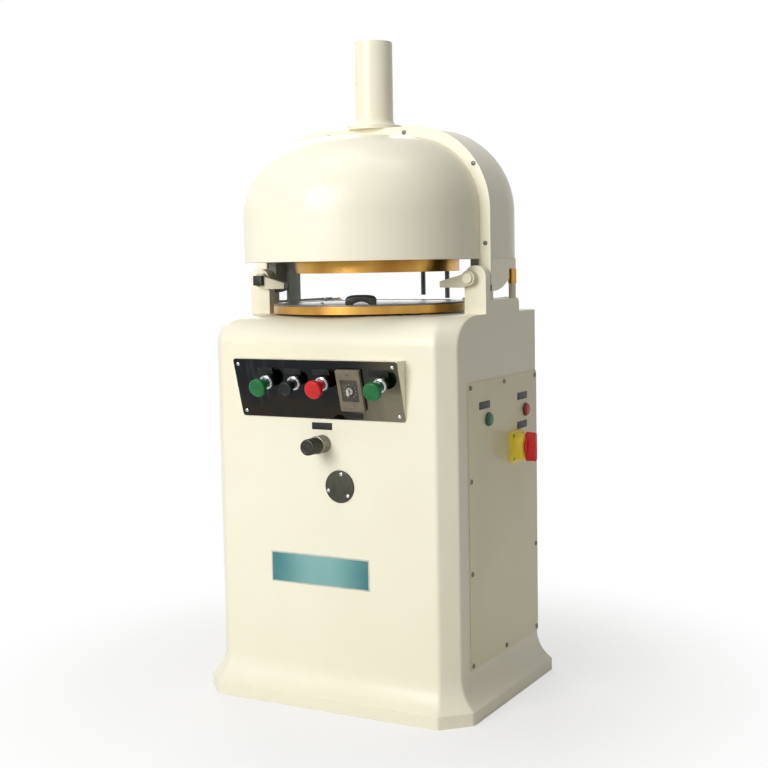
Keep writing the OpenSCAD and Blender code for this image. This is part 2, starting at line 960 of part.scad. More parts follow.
module isolator_base() {
  color("gold") on_side(isolator_y, cover_top - isolator_drop) difference() {
    union() {
      linear_extrude(isolator_t) round_rect(isolator_w, isolator_w, isolator_round);
      translate([0, 0, isolator_t])
        cylinder(r1 = isolator_cone_r, r2 = isolator_cone_tip_r, h = isolator_cone_h);
      translate([0, 0, -isolator_body_in]) linear_extrude(isolator_body_in + cut)
        square(isolator_body_w, center = true);
    }
    translate([0, 0, -isolator_body_in / 2])
      cylinder(r = isolator_spindle_r + fit_gap, h = isolator_body_in + isolator_t);
  }
}

module isolator_handle() {
  handle_z = isolator_t + isolator_cone_h + seat_gap;
  color("red") on_side(isolator_y, cover_top - isolator_drop) {
    translate([0, 0, seat_gap - isolator_body_in / 2])
      cylinder(r = isolator_spindle_r, h = handle_z + isolator_body_in / 2);
    translate([0, 0, handle_z]) cylinder(r = handle_disc_r, h = handle_disc_t);
    translate([0, 0, handle_z]) linear_extrude(handle_grip_t) rotate([0, 0, 90])
      stadium(handle_grip_l, handle_grip_w);
  }
}

// Table drive inside the cabinet

module bearing_housing() {
  shoulder_r = bearing_r - bearing_inset;
  color("gray") difference() {
    union() {
      translate([0, 0, housing_top - housing_flange_t]) cylinder(r = housing_flange_r, h = housing_flange_t);
      translate([0, 0, housing_low]) cylinder(r = housing_r, h = housing_h);
    }
    translate([0, 0, housing_low - cut]) cylinder(r = shoulder_r, h = housing_h + 2 * cut);
    translate([0, 0, housing_low - cut])
      cylinder(r = bearing_r + fit_gap, h = bearing_w + bearing_inset + cut);
    translate([0, 0, housing_top - bearing_w - bearing_inset])
      cylinder(r = bearing_r + fit_gap, h = bearing_w + bearing_inset + cut);
  }
}

module shaft_bearings() {
  race_gap = bearing_inset;
  race_r = (bearing_r + shaft_r) / 2;
  color("silver") for (z = [housing_low + bearing_inset, housing_top - bearing_w - bearing_inset])
    translate([0, 0, z]) difference() {
      ring(bearing_r, shaft_r, bearing_w);
      translate([0, 0, bearing_w - bearing_inset / 2])
        ring(race_r + race_gap / 2, race_r - race_gap / 2, bearing_inset);
    }
}

module crank_shaft() {
  color("silver") {
    translate([0, 0, shaft_low]) cylinder(r = shaft_r - fit_gap, h = crank_web_z - shaft_low + cut);
    translate([0, 0, crank_web_z]) cylinder(r = crank_web_r, h = crank_web_t);
    translate([-orbit_r, 0, crank_web_z]) cylinder(r = crank_pin_r, h = pin_top - crank_web_z);
  }
}

module counterweight() {
  color("dimgray") translate([0, 0, weight_z]) difference() {
    union() {
      intersection() {
        cylinder(r = weight_r, h = weight_t);
        translate([0, -weight_r, 0]) cube([weight_r, 2 * weight_r, weight_t]);
      }
      cylinder(r = pulley_hub_r, h = weight_t);
    }
    translate([0, 0, -cut]) cylinder(r = shaft_r, h = weight_t + 2 * cut);
  }
}

// Grooved wheel for one belt
module belt_wheel(r, bore_r) {
  groove_z = (pulley_t - belt_w) / 2 - belt_play;
  difference() {
    cylinder(r = r, h = pulley_t);
    translate([0, 0, groove_z]) ring(r + cut, r - groove_deep, belt_w + 2 * belt_play);
    translate([0, 0, -cut]) cylinder(r = bore_r, h = pulley_t + 2 * cut);
  }
}

module drive_pulley() {
  pocket_r = pulley_r - 2 * groove_deep;
  pocket = (pulley_t - pulley_web) / 2;
  color("gray") translate([0, 0, pulley_z]) difference() {
    belt_wheel(pulley_r, shaft_r);
    for (z = [-cut, pulley_t - pocket]) translate([0, 0, z]) ring(pocket_r, pulley_hub_r, pocket + cut);
  }
}

// Belt section swept round part of a wheel
module belt_bend(r, turn) {
  rotate_extrude(angle = turn) translate([r, 0]) square([belt_t, belt_w]);
}

module drive_belt() {
  big = pulley_r - groove_deep + belt_play;
  small = motor_pulley_r - groove_deep + belt_play;
  span = norm([motor_x, motor_y]);
  lean = acos((big - small) / span);
  run = sqrt(span * span - (big - small) * (big - small));
  belt_z = pulley_z + (pulley_t - belt_w) / 2;
  color("black") translate([0, 0, belt_z]) rotate([0, 0, atan2(motor_y, motor_x)]) {
    rotate([0, 0, lean]) belt_bend(big, 360 - 2 * lean);
    translate([span, 0, 0]) rotate([0, 0, -lean]) belt_bend(small, 2 * lean);
    for (side = [0, 1]) mirror([0, side, 0]) rotate([0, 0, lean]) translate([big, -run - belt_lap, 0])
      cube([belt_t, run + 2 * belt_lap, belt_w]);
  }
}

module motor_pulley() {
  color("gray") translate([motor_x, motor_y, pulley_z]) {
    belt_wheel(motor_pulley_r, motor_shaft_r / 2);
    translate([0, 0, motor_top - motor_shaft_in - pulley_z])
      cylinder(r = motor_shaft_r, h = motor_shaft_in + pulley_z - motor_top + pulley_t);
  }
}

module drive_motor() {
  rib_pitch = (motor_h - 2 * motor_flange_t) / motor_ribs;
  color("steelblue") translate([motor_x, motor_y, motor_top - motor_h]) difference() {
    union() {
      cylinder(r = motor_r, h = motor_h);
      translate([0, 0, motor_h - motor_flange_t]) cylinder(r = motor_flange_r, h = motor_flange_t);
      for (i = [0 : motor_ribs - 1]) translate([0, 0, motor_flange_t + i * rib_pitch])
        cylinder(r = motor_r + motor_rib_out, h = motor_rib_t);
      translate([-terminal_w / 2, -motor_r - terminal_d, motor_h / 2 - terminal_h / 2])
        cube([terminal_w, motor_r + terminal_d, terminal_h]);
    }
    translate([0, 0, motor_h - motor_shaft_in - cut])
      cylinder(r = motor_shaft_r + fit_gap, h = motor_shaft_in + 2 * cut);
  }
}

module motor_bracket() {
  wall_x = wall - half_w;
  reach_x = motor_x + motor_flange_r;
  color("gray") difference() {
    union() {
      translate([wall_x, motor_y - bracket_d / 2, motor_top]) cube([reach_x - wall_x, bracket_d, bracket_t]);
      translate([wall_x, motor_y - bracket_d / 2, motor_top - bracket_web_h])
        cube([bracket_t, bracket_d, bracket_web_h + bracket_t]);
    }
    translate([motor_x, motor_y, motor_top - cut]) cylinder(r = bracket_hole_r, h = bracket_t + 2 * cut);
  }
}

// Short crank whose pin follows the table
module idler_crank(a) {
  web_low = body_h + seat_gap;
  web_h = web_z - body_h - hub_gap;
  translate(idler_place(a)) {
    translate([0, 0, body_h - top_t - idler_boss_h])
      cylinder(r = idler_journal_r, h = top_t + idler_boss_h + cut);
    translate([0, 0, web_low]) linear_extrude(web_h) {
      circle(idler_web_r);
      translate([-orbit_r, 0]) circle(idler_web_r);
      translate([-orbit_r / 2, 0]) square([orbit_r, 2 * idler_web_r], center = true);
    }
    translate([-orbit_r, 0, web_low]) cylinder(r = idler_pin_r, h = pin_top - web_low);
  }
}

module idler_crank_rear() {
  color("silver") idler_crank(idler_angles[0]);
}

module idler_crank_left() {
  color("silver") idler_crank(idler_angles[1]);
}

module idler_crank_right() {
  color("silver") idler_crank(idler_angles[2]);
}

// Table and moulding plate; the crank rests with its throw to the left

module rounding_table() {
  r = table_d / 2;
  color("goldenrod") translate([-orbit_r, 0, 0]) difference() {
    union() {
      translate([0, 0, table_z]) ring(r, r - rim_w, table_rim_h);
      translate([0, 0, web_z]) cylinder(r = r - rim_w / 2, h = web_t);
      translate([0, 0, web_z - hub_gap]) cylinder(r = hub_r, h = web_t);
    }
    translate([0, 0, table_z]) cylinder(r = crank_pin_r + fit_gap, h = pin_top - table_z + seat_gap);
    for (a = idler_angles) translate(idler_place(a)) translate([0, 0, table_z])
      cylinder(r = idler_pin_r + idler_pin_play, h = pin_top - table_z + seat_gap);
  }
}

module moulding_plate() {
  color("lightgray") translate([-orbit_r, 0, 0]) difference() {
    union() {
      translate([0, 0, plate_z]) cylinder(r = spigot_r, h = plate_t);
      translate([0, 0, rim_top]) cylinder(r = plate_r, h = plate_top - rim_top);
    }
    translate([0, 0, plate_top - plate_dish]) cylinder(r = spigot_r - plate_edge, h = plate_dish + cut);
  }
}

// Frame on the plate's edge, turned from the operator's side
module on_plate_edge(turn, r) {
  translate([-orbit_r, 0, plate_top]) rotate([0, 0, turn]) translate([0, -r, 0]) children();
}

module plate_handle() {
  foot_place = plate_r - grip_foot_w / 2;
  color("black") {
    on_plate_edge(grip_angle, foot_place) linear_extrude(grip_foot_h + cut) stadium(grip_foot_l, grip_foot_w);
    on_plate_edge(grip_angle, foot_place + grip_out) translate([0, 0, grip_foot_h]) linear_extrude(grip_h)
      stadium(grip_l, grip_w);
  }
}

module plate_pins() {
  color("dimgray") for (turn = [0, 120, 240]) on_plate_edge(turn, table_d / 2 - rim_w / 2)
    round_cap(pin_r, pin_h, pin_r / 2);
}

// Hydraulic unit on the base plate

module oil_tank() {
  color("slategray") translate([tank_x, 0, base_t]) difference() {
    translate([-tank_w / 2, -tank_d / 2, 0]) cube([tank_w, tank_d, tank_h]);
    translate([tank_wall - tank_w / 2, tank_wall - tank_d / 2, tank_wall])
      cube([tank_w - 2 * tank_wall, tank_d - 2 * tank_wall, tank_h]);
  }
}

module tank_lid() {
  color("slategray") translate([tank_x, 0, base_t + tank_h]) linear_extrude(lid_t)
    round_rect(tank_w + 2 * lid_out, tank_d + 2 * lid_out, lid_out);
}

module pump_motor() {
  rib_pitch = (pump_h - 2 * pump_flange_t) / motor_ribs;
  color("steelblue") translate([tank_x, pump_y, base_t + tank_h + lid_t]) {
    cylinder(r = pump_r, h = pump_h);
    cylinder(r = pump_flange_r, h = pump_flange_t);
    for (i = [1 : motor_ribs - 1]) translate([0, 0, pump_flange_t + i * rib_pitch])
      cylinder(r = pump_r + motor_rib_out, h = motor_rib_t);
  }
}

module valve_block() {
  color("gray") translate([tank_x, valve_y, base_t + tank_h + lid_t]) {
    translate([-valve_w / 2, -valve_d / 2, 0]) cube([valve_w, valve_d, valve_h]);
    for (s = [-1, 1]) translate([s * valve_w / 4, 0, valve_h]) cylinder(r = coil_r, h = coil_l);
  }
}

// Head

module head_frame() {
  inset = sheet + seat_gap;
  half = half_w - inset;
  top = arch_top - inset;
  frame_rear = frame_front + frame_t;
  inner_round = arch_round - inset;
  deck_rise = deck_top - arch_top + arch_round;
  deck_back = hood_back - arch_round - seat_gap + sqrt(inner_round * inner_round - deck_rise * deck_rise);
  color("gray") difference() {
    union() {
      along_y(frame_front, frame_rear) difference() {
        arch(half, rim_z, top, inner_round);
        translate([0, -cut]) arch(half - frame_band, rim_z, top + cut - frame_band, inner_round - frame_band);
      }
      deck_piece(deck_half, deck_side_back);
      deck_piece(deck_rear_half, deck_back);
      both_sides() cheek(half);
    }
    translate([0, 0, deck_z - cut]) cylinder(r = ram_r + rod_play, h = deck_t + 2 * cut);
    translate([0, 0, deck_top]) cylinder(r = cylinder_r + seat_gap, h = arch_h);
    for (s = [-1, 1]) {
      translate([s * knife_rod_x, knife_rod_y, deck_z - cut])
        cylinder(r = knife_rod_r + fit_gap, h = deck_t + 2 * cut);
      translate([s * ring_rod_x, ring_rod_y, deck_z - cut])
        cylinder(r = ring_rod_r + fit_gap, h = deck_t + 2 * cut);
    }
  }
}

// Part of the deck that carries the press, from the frame to a place behind it
module deck_piece(half, back) {
  translate([-half, frame_front, deck_z]) cube([2 * half, back - frame_front, deck_t]);
}

// Side cheek that stands on the upright's pad, with the lug that rests on the post
module cheek(inner_half) {
  along_x(block_in, inner_half) translate([frame_front, rim_z - cut])
    square([cheek_back - frame_front, cheek_top]);
  along_x(block_in, half_w) intersection() {
    translate([frame_front, cheek_low]) square([cheek_back - frame_front, rim_z - seat_gap - cheek_low]);
    union() {
      translate([cheek_arc_y, cheek_low + cheek_r]) circle(cheek_r);
      translate([frame_front, cheek_low]) square([pad_t, cheek_r]);
    }
  }
  translate([0, 0, lug_low]) linear_extrude(lug_h) {
    translate([half_w - lug_w, cheek_back - cut]) square([lug_w, post_back - cheek_back + cut]);
    translate([half_w - lug_w / 2, post_back]) circle(lug_w / 2);
  }
}

// Half outline of the dome, from its axis outwards
module dome_half(r, low, top, round_r) {
  intersection() {
    arch(r, low, top, round_r);
    translate([0, low]) square([r, top - low]);
  }
}

module front_dome() {
  r = dome_d / 2;
  tail_z = rim_z - tail_h;
  color("ivory") {
    translate([0, -flange_ahead, 0]) rotate([0, 0, 180]) rotate_extrude(angle = 180) difference() {
      dome_half(r, rim_z, dome_top, dome_round);
      translate([0, -cut]) dome_half(r - sheet, rim_z, dome_top - sheet + cut, dome_round - sheet);
    }
    along_y(-flange_ahead, flange_t - flange_ahead) difference() {
      union() {
        arch(half_w, rim_z, arch_top, arch_round);
        both_sides() polygon([
          [half_w, rim_z], [half_w - tail_w, rim_z], [half_w - tail_w, rim_z - tail_knee],
          [half_w - tail_tip, tail_z], [half_w, tail_z]
        ]);
      }
      translate([0, -cut]) arch(r - sheet, rim_z, dome_top - sheet + cut, dome_round - sheet);
    }
  }
}

// Outline from an axis out to an upright wall with a round shoulder
module round_wall(r, low, top) {
  translate([0, low]) square([r, top - r - low]);
  intersection() {
    translate([0, top - r]) circle(r);
    translate([0, low]) square([r, top - low]);
  }
}

// Body of the rear hood with one radius on its shoulders, back edge and corners, drawn in by an inset
module hood_body(inset, front, low) {
  x = half_w - arch_round;
  y = hood_back - arch_round;
  r = arch_round - inset;
  top = arch_top - inset;
  along_y(front, y) arch(half_w - inset, low, top, r);
  along_x(-x, x) translate([y, 0]) round_wall(r, low, top);
  both_sides() translate([x, y, 0]) rotate_extrude(angle = 90) round_wall(r, low, top);
}

module rear_hood() {
  front = flange_t - flange_ahead;
  color("ivory") difference() {
    hood_body(0, front, rim_z);
    hood_body(sheet, front - cut, rim_z - cut);
    translate([0, 0, arch_top - 2 * sheet]) cylinder(r = tube_d / 2 - tube_wall, h = 2 * sheet + cut);
  }
}

module top_tube() {
  r = tube_d / 2;
  foot_r = r + tube_flange_out;
  color("ivory") translate([0, 0, arch_top]) difference() {
    union() {
      cylinder(r = r, h = tube_h);
      cylinder(r = foot_r, h = tube_flange_t);
      translate([0, 0, tube_flange_t]) rotate_extrude() difference() {
        translate([r - tube_wall / 2, -tube_wall / 2]) square(tube_fillet + tube_wall / 2);
        translate([r + tube_fillet, tube_fillet]) circle(tube_fillet);
      }
    }
    translate([0, 0, -cut]) cylinder(r = r - tube_wall, h = tube_h - tube_cap_t + cut);
  }
}

module press_cylinder() {
  barrel_top = tube_top - tube_cap_t - cylinder_gap;
  color("dimgray") difference() {
    translate([0, 0, deck_top]) cylinder(r = cylinder_r, h = barrel_top - deck_top);
    translate([0, 0, deck_top + cylinder_foot])
      cylinder(r = cylinder_bore_r, h = barrel_top - deck_top - cylinder_foot - cylinder_gap);
    translate([0, 0, deck_top - cut]) cylinder(r = ram_r + fit_gap, h = cylinder_foot + 2 * cut);
  }
}

module ram() {
  barrel_top = tube_top - tube_cap_t - 2 * cylinder_gap;
  piston_z = barrel_top - piston_gap - piston_t;
  color("silver") {
    translate([0, 0, carrier_z + carrier_t]) cylinder(r = ram_r, h = piston_z - carrier_z - carrier_t + cut);
    translate([0, 0, piston_z]) cylinder(r = cylinder_bore_r - fit_gap, h = piston_t);
  }
}

// One place for each cell of the divider: rings of 6, 12 and 18
function cell_turn(ring_no) = 360 / cells[ring_no];
function post_place(ring_no) =
  ring_no == 0 ? cell_r[1] * post_share : (cell_r[ring_no] + cell_r[ring_no + 1]) / 2;

module each_cell() {
  for (ring_no = [0 : 2], i = [0 : cells[ring_no] - 1])
    rotate([0, 0, (i + 1 / 2) * cell_turn(ring_no)]) translate([post_place(ring_no), 0, 0]) children();
}

// Blade outlines: two rings and the straight blades between them, thickened by a play
module blade_plan(play) {
  t = blade_t + 2 * play;
  for (ring_no = [1, 2]) difference() {
    circle(cell_r[ring_no] + t / 2);
    circle(cell_r[ring_no] - t / 2);
  }
  for (ring_no = [0 : 2], i = [0 : cells[ring_no] - 1]) rotate([0, 0, i * cell_turn(ring_no)])
    translate([cell_r[ring_no], -t / 2]) square([cell_r[ring_no + 1] - cell_r[ring_no] + play, t]);
}

module press_plates() {
  color("lightgray") difference() {
    union() {
      translate([0, 0, platen_low]) linear_extrude(platen_t) difference() {
        circle(platen_r);
        blade_plan(blade_play);
      }
      each_cell() translate([0, 0, platen_low + platen_t / 2])
        cylinder(r = post_r, h = carrier_z - platen_low);
      translate([0, 0, carrier_z]) cylinder(r = carrier_r, h = carrier_t);
    }
    for (s = [-1, 1]) translate([s * knife_rod_x, knife_rod_y, carrier_z - cut])
      cylinder(r = knife_rod_r + rod_play, h = carrier_t + 2 * cut);
  }
}

module knife_grid() {
  rod_h = deck_top + knife_stroke - rod_left - knife_plate_z;
  color("silver") {
    translate([0, 0, knife_low]) linear_extrude(knife_plate_z - knife_low + cut) intersection() {
      blade_plan(0);
      circle(platen_r);
    }
    difference() {
      translate([0, 0, knife_plate_z]) cylinder(r = platen_r, h = knife_plate_t);
      each_cell() translate([0, 0, knife_plate_z - cut])
        cylinder(r = post_r + post_play, h = knife_plate_t + 2 * cut);
    }
    for (s = [-1, 1]) translate([s * knife_rod_x, knife_rod_y, knife_plate_z + cut])
      cylinder(r = knife_rod_r, h = rod_h);
  }
}

module chamber_ring() {
  rod_h = deck_top + ring_stroke - rod_left - ring_z - ring_h / 2;
  color("goldenrod") {
    translate([0, 0, ring_z]) ring(ring_d / 2, chamber_r, ring_h);
    for (s = [-1, 1]) translate([s * ring_rod_x, ring_rod_y, ring_z + ring_h / 2])
      cylinder(r = ring_rod_r, h = rod_h);
  }
}

module feeler_rods() {
  color("dimgray") for (i = [0, 1]) translate([feeler_x[i], feeler_y[i], plate_top + feeler_rise[i]])
    cylinder(r = feeler_r, h = deck_z - plate_top - feeler_rise[i]);
}

cabinet();
base_plate();
right_cover();
rear_panel();
cover_screws();
cable_gland();
upright_right();
upright_left();
claw_right();
claw_left();
hinge_straps();
hinge_bushes();
hinge_arms();
console_box();
panel_plate();
button_collars();
green_button_left();
black_button();
red_button();
green_button_right();
timer_case();
timer_knob();
adjuster_collar();
adjuster_knob();
inspection_disc();
side_bezels();
side_green_button();
side_red_button();
isolator_base();
isolator_handle();
bearing_housing();
shaft_bearings();
crank_shaft();
counterweight();
drive_pulley();
drive_belt();
motor_pulley();
drive_motor();
motor_bracket();
idler_crank_rear();
idler_crank_left();
idler_crank_right();
rounding_table();
moulding_plate();
plate_handle();
plate_pins();
oil_tank();
tank_lid();
pump_motor();
valve_block();
head_frame();
front_dome();
rear_hood();
top_tube();
press_cylinder();
ram();
press_plates();
knife_grid();
chamber_ring();
feeler_rods();
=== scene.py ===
import math

import bmesh
import bpy
from mathutils import Matrix, Vector


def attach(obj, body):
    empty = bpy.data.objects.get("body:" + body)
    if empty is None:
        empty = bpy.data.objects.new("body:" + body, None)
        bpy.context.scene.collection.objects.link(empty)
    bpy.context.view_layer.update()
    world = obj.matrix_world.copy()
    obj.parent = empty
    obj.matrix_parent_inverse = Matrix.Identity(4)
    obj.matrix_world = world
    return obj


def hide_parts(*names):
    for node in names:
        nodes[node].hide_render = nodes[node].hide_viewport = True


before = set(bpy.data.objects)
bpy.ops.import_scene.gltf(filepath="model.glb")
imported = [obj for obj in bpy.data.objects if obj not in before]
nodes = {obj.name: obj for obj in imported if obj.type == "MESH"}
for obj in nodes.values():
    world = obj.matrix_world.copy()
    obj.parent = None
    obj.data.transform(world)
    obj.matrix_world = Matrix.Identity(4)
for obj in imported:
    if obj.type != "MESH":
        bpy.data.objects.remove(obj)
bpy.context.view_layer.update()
mm = 0.001


# Camera at the photograph's viewing angle

camera_place = Vector((1.475, -2.652, 0.957))
camera_yaw = math.radians(28.87)
camera_pitch = math.radians(5.16)
camera_roll = math.radians(-1.03)
camera_lens = 62.48
camera_sensor = 36

ahead = Vector((
    -math.sin(camera_yaw) * math.cos(camera_pitch),
    math.cos(camera_yaw) * math.cos(camera_pitch),
    -math.sin(camera_pitch),
))
level = Vector((math.cos(camera_yaw), math.sin(camera_yaw), 0))
above = level.cross(ahead)
sideways = math.cos(camera_roll) * level + math.sin(camera_roll) * above
upwards = math.cos(camera_roll) * above - math.sin(camera_roll) * level
camera = bpy.data.objects.new("camera", bpy.data.cameras.new("camera"))
camera.data.lens = camera_lens
camera.data.sensor_width = camera_sensor
camera.data.sensor_fit = "HORIZONTAL"
camera.matrix_world = Matrix((
    (sideways.x, upwards.x, -ahead.x, camera_place.x),
    (sideways.y, upwards.y, -ahead.y, camera_place.y),
    (sideways.z, upwards.z, -ahead.z, camera_place.z),
    (0, 0, 0, 1),
))
bpy.context.scene.collection.objects.link(camera)
bpy.context.scene.camera = camera
bpy.context.scene.view_settings.view_transform = "Standard"


# Shader sums and finishes

# Sockets of a Mix node that mixes colours
mix_share, mix_first, mix_second = 0, 6, 7
mix_result = 2


class Tone:
    """A shader socket in sums: each sum on it adds a Math node."""

    def __init__(self, recipe, socket):
        self.recipe = recipe
        self.socket = socket

    def sum(self, operation, first, second):
        return self.recipe.node("ShaderNodeMath", {"operation": operation}, {0: first, 1: second})

    def __add__(self, other):
        return self.sum("ADD", self, other)

    def __radd__(self, other):
        return self.sum("ADD", other, self)

    def __sub__(self, other):
        return self.sum("SUBTRACT", self, other)

    def __rsub__(self, other):
        return self.sum("SUBTRACT", other, self)

    def __mul__(self, other):
        return self.sum("MULTIPLY", self, other)

    def __rmul__(self, other):
        return self.sum("MULTIPLY", other, self)

    def rise(self, low, high):
        """Goes smoothly from 0 at low to 1 at high."""
        return self.recipe.node(
            "ShaderNodeMapRange", {"interpolation_type": "SMOOTHSTEP"},
            {"Value": self, "From Min": low, "From Max": high},
        )


class Recipe:
    """A tree of shader nodes, each made with its settings and what feeds it."""

    def __init__(self, tree):
        self.tree = tree
        self.tree.nodes.clear()

    def node(self, kind, settings, inputs, output=0):
        made = self.tree.nodes.new(kind)
        for name, value in settings.items():
            setattr(made, name, value)
        for socket, value in inputs.items():
            self.join(made.inputs[socket], value)
        return Tone(self, made.outputs[output]) if made.outputs else made

    def join(self, socket, value):
        if isinstance(value, Tone):
            self.tree.links.new(value.socket, socket)
        else:
            socket.default_value = (*value, 1) if socket.type == "RGBA" else value

    def to_the_eye(self):
        """1 on rays from the camera, mirrors and glass, 0 on light for the object."""
        camera_ray, mirror_ray, glass_ray = (
            self.node("ShaderNodeLightPath", {}, {}, ray)
            for ray in ("Is Camera Ray", "Is Glossy Ray", "Is Transmission Ray")
        )
        return (camera_ray + mirror_ray + glass_ray).rise(0.0, 1.0)


class Finish(Recipe):
    """One surface finish: a Principled shader and the nodes that feed it."""

    def __init__(self, name, **constants):
        self.material = bpy.data.materials.new(name)
        self.material.use_nodes = True
        super().__init__(self.material.node_tree)
        self.skin = self.node("ShaderNodeBsdfPrincipled", {}, {})
        self.out = self.node("ShaderNodeOutputMaterial", {}, {0: self.skin})
        self.place = self.node("ShaderNodeTexCoord", {}, {}, "Object")
        for socket, value in constants.items():
            self.feed(socket.replace("_", " "), value)

    def feed(self, socket, value):
        self.join(self.skin.socket.node.inputs[socket], value)

    def mix(self, share, first, second):
        return self.node(
            "ShaderNodeMix", {"data_type": "RGBA"},
            {mix_share: share, mix_first: first, mix_second: second}, mix_result,
        )

    def split(self, axis, place=None):
        return self.node("ShaderNodeSeparateXYZ", {}, {0: place or self.place}, axis)

    def spots(self, scale, detail, stretch=(1, 1, 1)):
        """Soft cloudy noise from 0 to 1 in places of the part's own frame."""
        spread = self.node(
            "ShaderNodeMapping", {"vector_type": "POINT"}, {"Vector": self.place, "Scale": stretch},
        )
        return self.node("ShaderNodeTexNoise", {}, {"Vector": spread, "Scale": scale, "Detail": detail})

    def soft_edge(self, radius):
        return self.node("ShaderNodeBevel", {"samples": 4}, {"Radius": radius})

    def edge_share(self, radius):
        """0 on open faces, towards 1 along edges."""
        flat = self.node("ShaderNodeNewGeometry", {}, {}, "Normal")
        turned = self.node(
            "ShaderNodeVectorMath", {"operation": "DOT_PRODUCT"},
            {0: self.soft_edge(radius), 1: flat}, "Value",
        )
        return 1 - turned

    def bump(self, height, distance, edge):
        self.feed("Normal", self.node(
            "ShaderNodeBump", {}, {"Height": height, "Distance": distance, "Strength": 1.0, "Normal": edge},
        ))


dust_tone = (0.46, 0.41, 0.3)
scuff_tone = (0.55, 0.51, 0.4)
dust_height = 0.06


def enamel(name, base, shade, ripple, edge=1.2 * mm):
    """Gloss paint on a casting or sheet: slow tone drift, orange peel, soft edges, dust low down."""
    paint = Finish(name, Coat_Roughness=0.1, Specular_IOR_Level=0.27)
    drift = paint.spots(scale=2.6, detail=4.0)
    fine = paint.spots(scale=46, detail=3.0)
    height = paint.split(2)
    patches = paint.spots(scale=75, detail=5.0)
    scuff = paint.edge_share(edge * 1.6).rise(0.1, 0.5) * patches.rise(0.45, 0.62)
    dust = (1 - height.rise(0.0, dust_height)) * fine.rise(0.2, 0.9)
    colour = paint.mix(drift.rise(0.32, 0.7), base, shade)
    colour = paint.mix(dust * 0.09, colour, dust_tone)
    colour = paint.mix(scuff * 0.35, colour, scuff_tone)
    paint.feed("Base Color", colour)
    paint.feed("Roughness", 0.3 + drift * 0.1 + dust * 0.15 + scuff * 0.1)
    paint.feed("Coat Weight", 0.16 - dust * 0.12)
    peel = paint.spots(scale=420, detail=2.0)
    paint.bump(peel * 0.12 + fine * ripple, 0.5 * mm, paint.soft_edge(edge))
    return paint.material


def polished_brass(name):
    """Turned brass with fine lathe lines round the upright axis and amber tarnish."""
    bright, amber = (0.62, 0.35, 0.075), (0.36, 0.15, 0.028)
    pale_line, dark_fleck = (0.66, 0.4, 0.12), (0.2, 0.1, 0.03)
    brass = Finish(name, Metallic=1.0)
    lines = brass.spots(scale=1.0, detail=2.0, stretch=(6, 6, 2600))
    tarnish = brass.spots(scale=9, detail=3.0, stretch=(1, 1, 0.4))
    fleck = brass.spots(scale=160, detail=4.0)
    colour = brass.mix(tarnish.rise(0.34, 0.66), bright, amber)
    colour = brass.mix(lines.rise(0.35, 0.75) * 0.35, colour, pale_line)
    colour = brass.mix(fleck.rise(0.66, 0.8) * 0.4, colour, dark_fleck)
    brass.feed("Base Color", colour)
    brass.feed("Roughness", 0.2 + tarnish * 0.14 + fleck * 0.06)
    brass.bump(lines, 0.04 * mm, brass.soft_edge(0.8 * mm))
    return brass.material


def bright_metal(name, base, shade, rough, stretch=(40, 40, 900), edge=0.6 * mm):
    """Machined metal with fine drawn lines and a few stains."""
    metal = Finish(name, Metallic=1.0)
    lines = metal.spots(scale=1.0, detail=3.0, stretch=stretch)
    stain = metal.spots(scale=18, detail=5.0)
    metal.feed("Base Color", metal.mix((stain * 0.6 + lines * 0.4).rise(0.3, 0.7), base, shade))
    metal.feed("Roughness", rough + lines * 0.1 + stain * 0.12 - 0.08)
    metal.bump(lines, 0.05 * mm, metal.soft_edge(edge))
    return metal.material


def cast_metal(name, base, shade, rough=0.55):
    """Painted casting with a sandy grain and slow blotches."""
    cast = Finish(name, Metallic=0.25)
    sand = cast.spots(scale=520, detail=3.0)
    blot = cast.spots(scale=22, detail=5.0)
    cast.feed("Base Color", cast.mix(blot.rise(0.3, 0.7), base, shade))
    cast.feed("Roughness", rough + sand * 0.15)
    cast.bump(sand * 0.5 + blot * 0.5, 0.35 * mm, cast.soft_edge(1.2 * mm))
    return cast.material


def two_sided_frame(name, paint, bare):
    """Head frame: enamel on the faces turned outwards, plain grey on the faces towards the chamber."""
    cast = Finish(name, Coat_Roughness=0.12)
    facing = cast.split(0, cast.node("ShaderNodeNewGeometry", {}, {}, "Normal"))
    side = cast.split(0).rise(-0.01, 0.01) * 2 - 1
    outward = (facing * side).rise(0.3, 0.6)
    sand = cast.spots(scale=420, detail=3.0)
    blot = cast.spots(scale=20, detail=4.0)
    inner = cast.mix(blot.rise(0.3, 0.7), bare, tuple(channel * 0.72 for channel in bare))
    cast.feed("Base Color", cast.mix(outward, inner, paint))
    cast.feed("Roughness", 0.5 + sand * 0.12 - outward * 0.2)
    cast.feed("Coat Weight", outward * 0.3)
    cast.bump(sand * 0.5 + blot * 0.5, 0.25 * mm, cast.soft_edge(1.2 * mm))
    return cast.material


def moulded_plastic(name, base, shade, rough=0.3, edge=0.5 * mm):
    """Moulded plastic with a fine grain, slow tone drift and rubbed edges."""
    plastic = Finish(name, IOR=1.5, Specular_IOR_Level=0.3)
    grain = plastic.spots(scale=1500, detail=2.0)
    drift = plastic.spots(scale=60, detail=4.0)
    rub = plastic.edge_share(edge * 2).rise(0.1, 0.6) * plastic.spots(scale=240, detail=3.0).rise(0.4, 0.65)
    pale = tuple(min(1.0, channel * 1.5 + 0.04) for channel in base)
    colour = plastic.mix(drift.rise(0.35, 0.7), base, shade)
    plastic.feed("Base Color", plastic.mix(rub * 0.5, colour, pale))
    plastic.feed("Roughness", rough + drift * 0.12 + rub * 0.1)
    plastic.bump(grain * 0.4 + drift * 0.6, 0.06 * mm, plastic.soft_edge(edge))
    return plastic.material


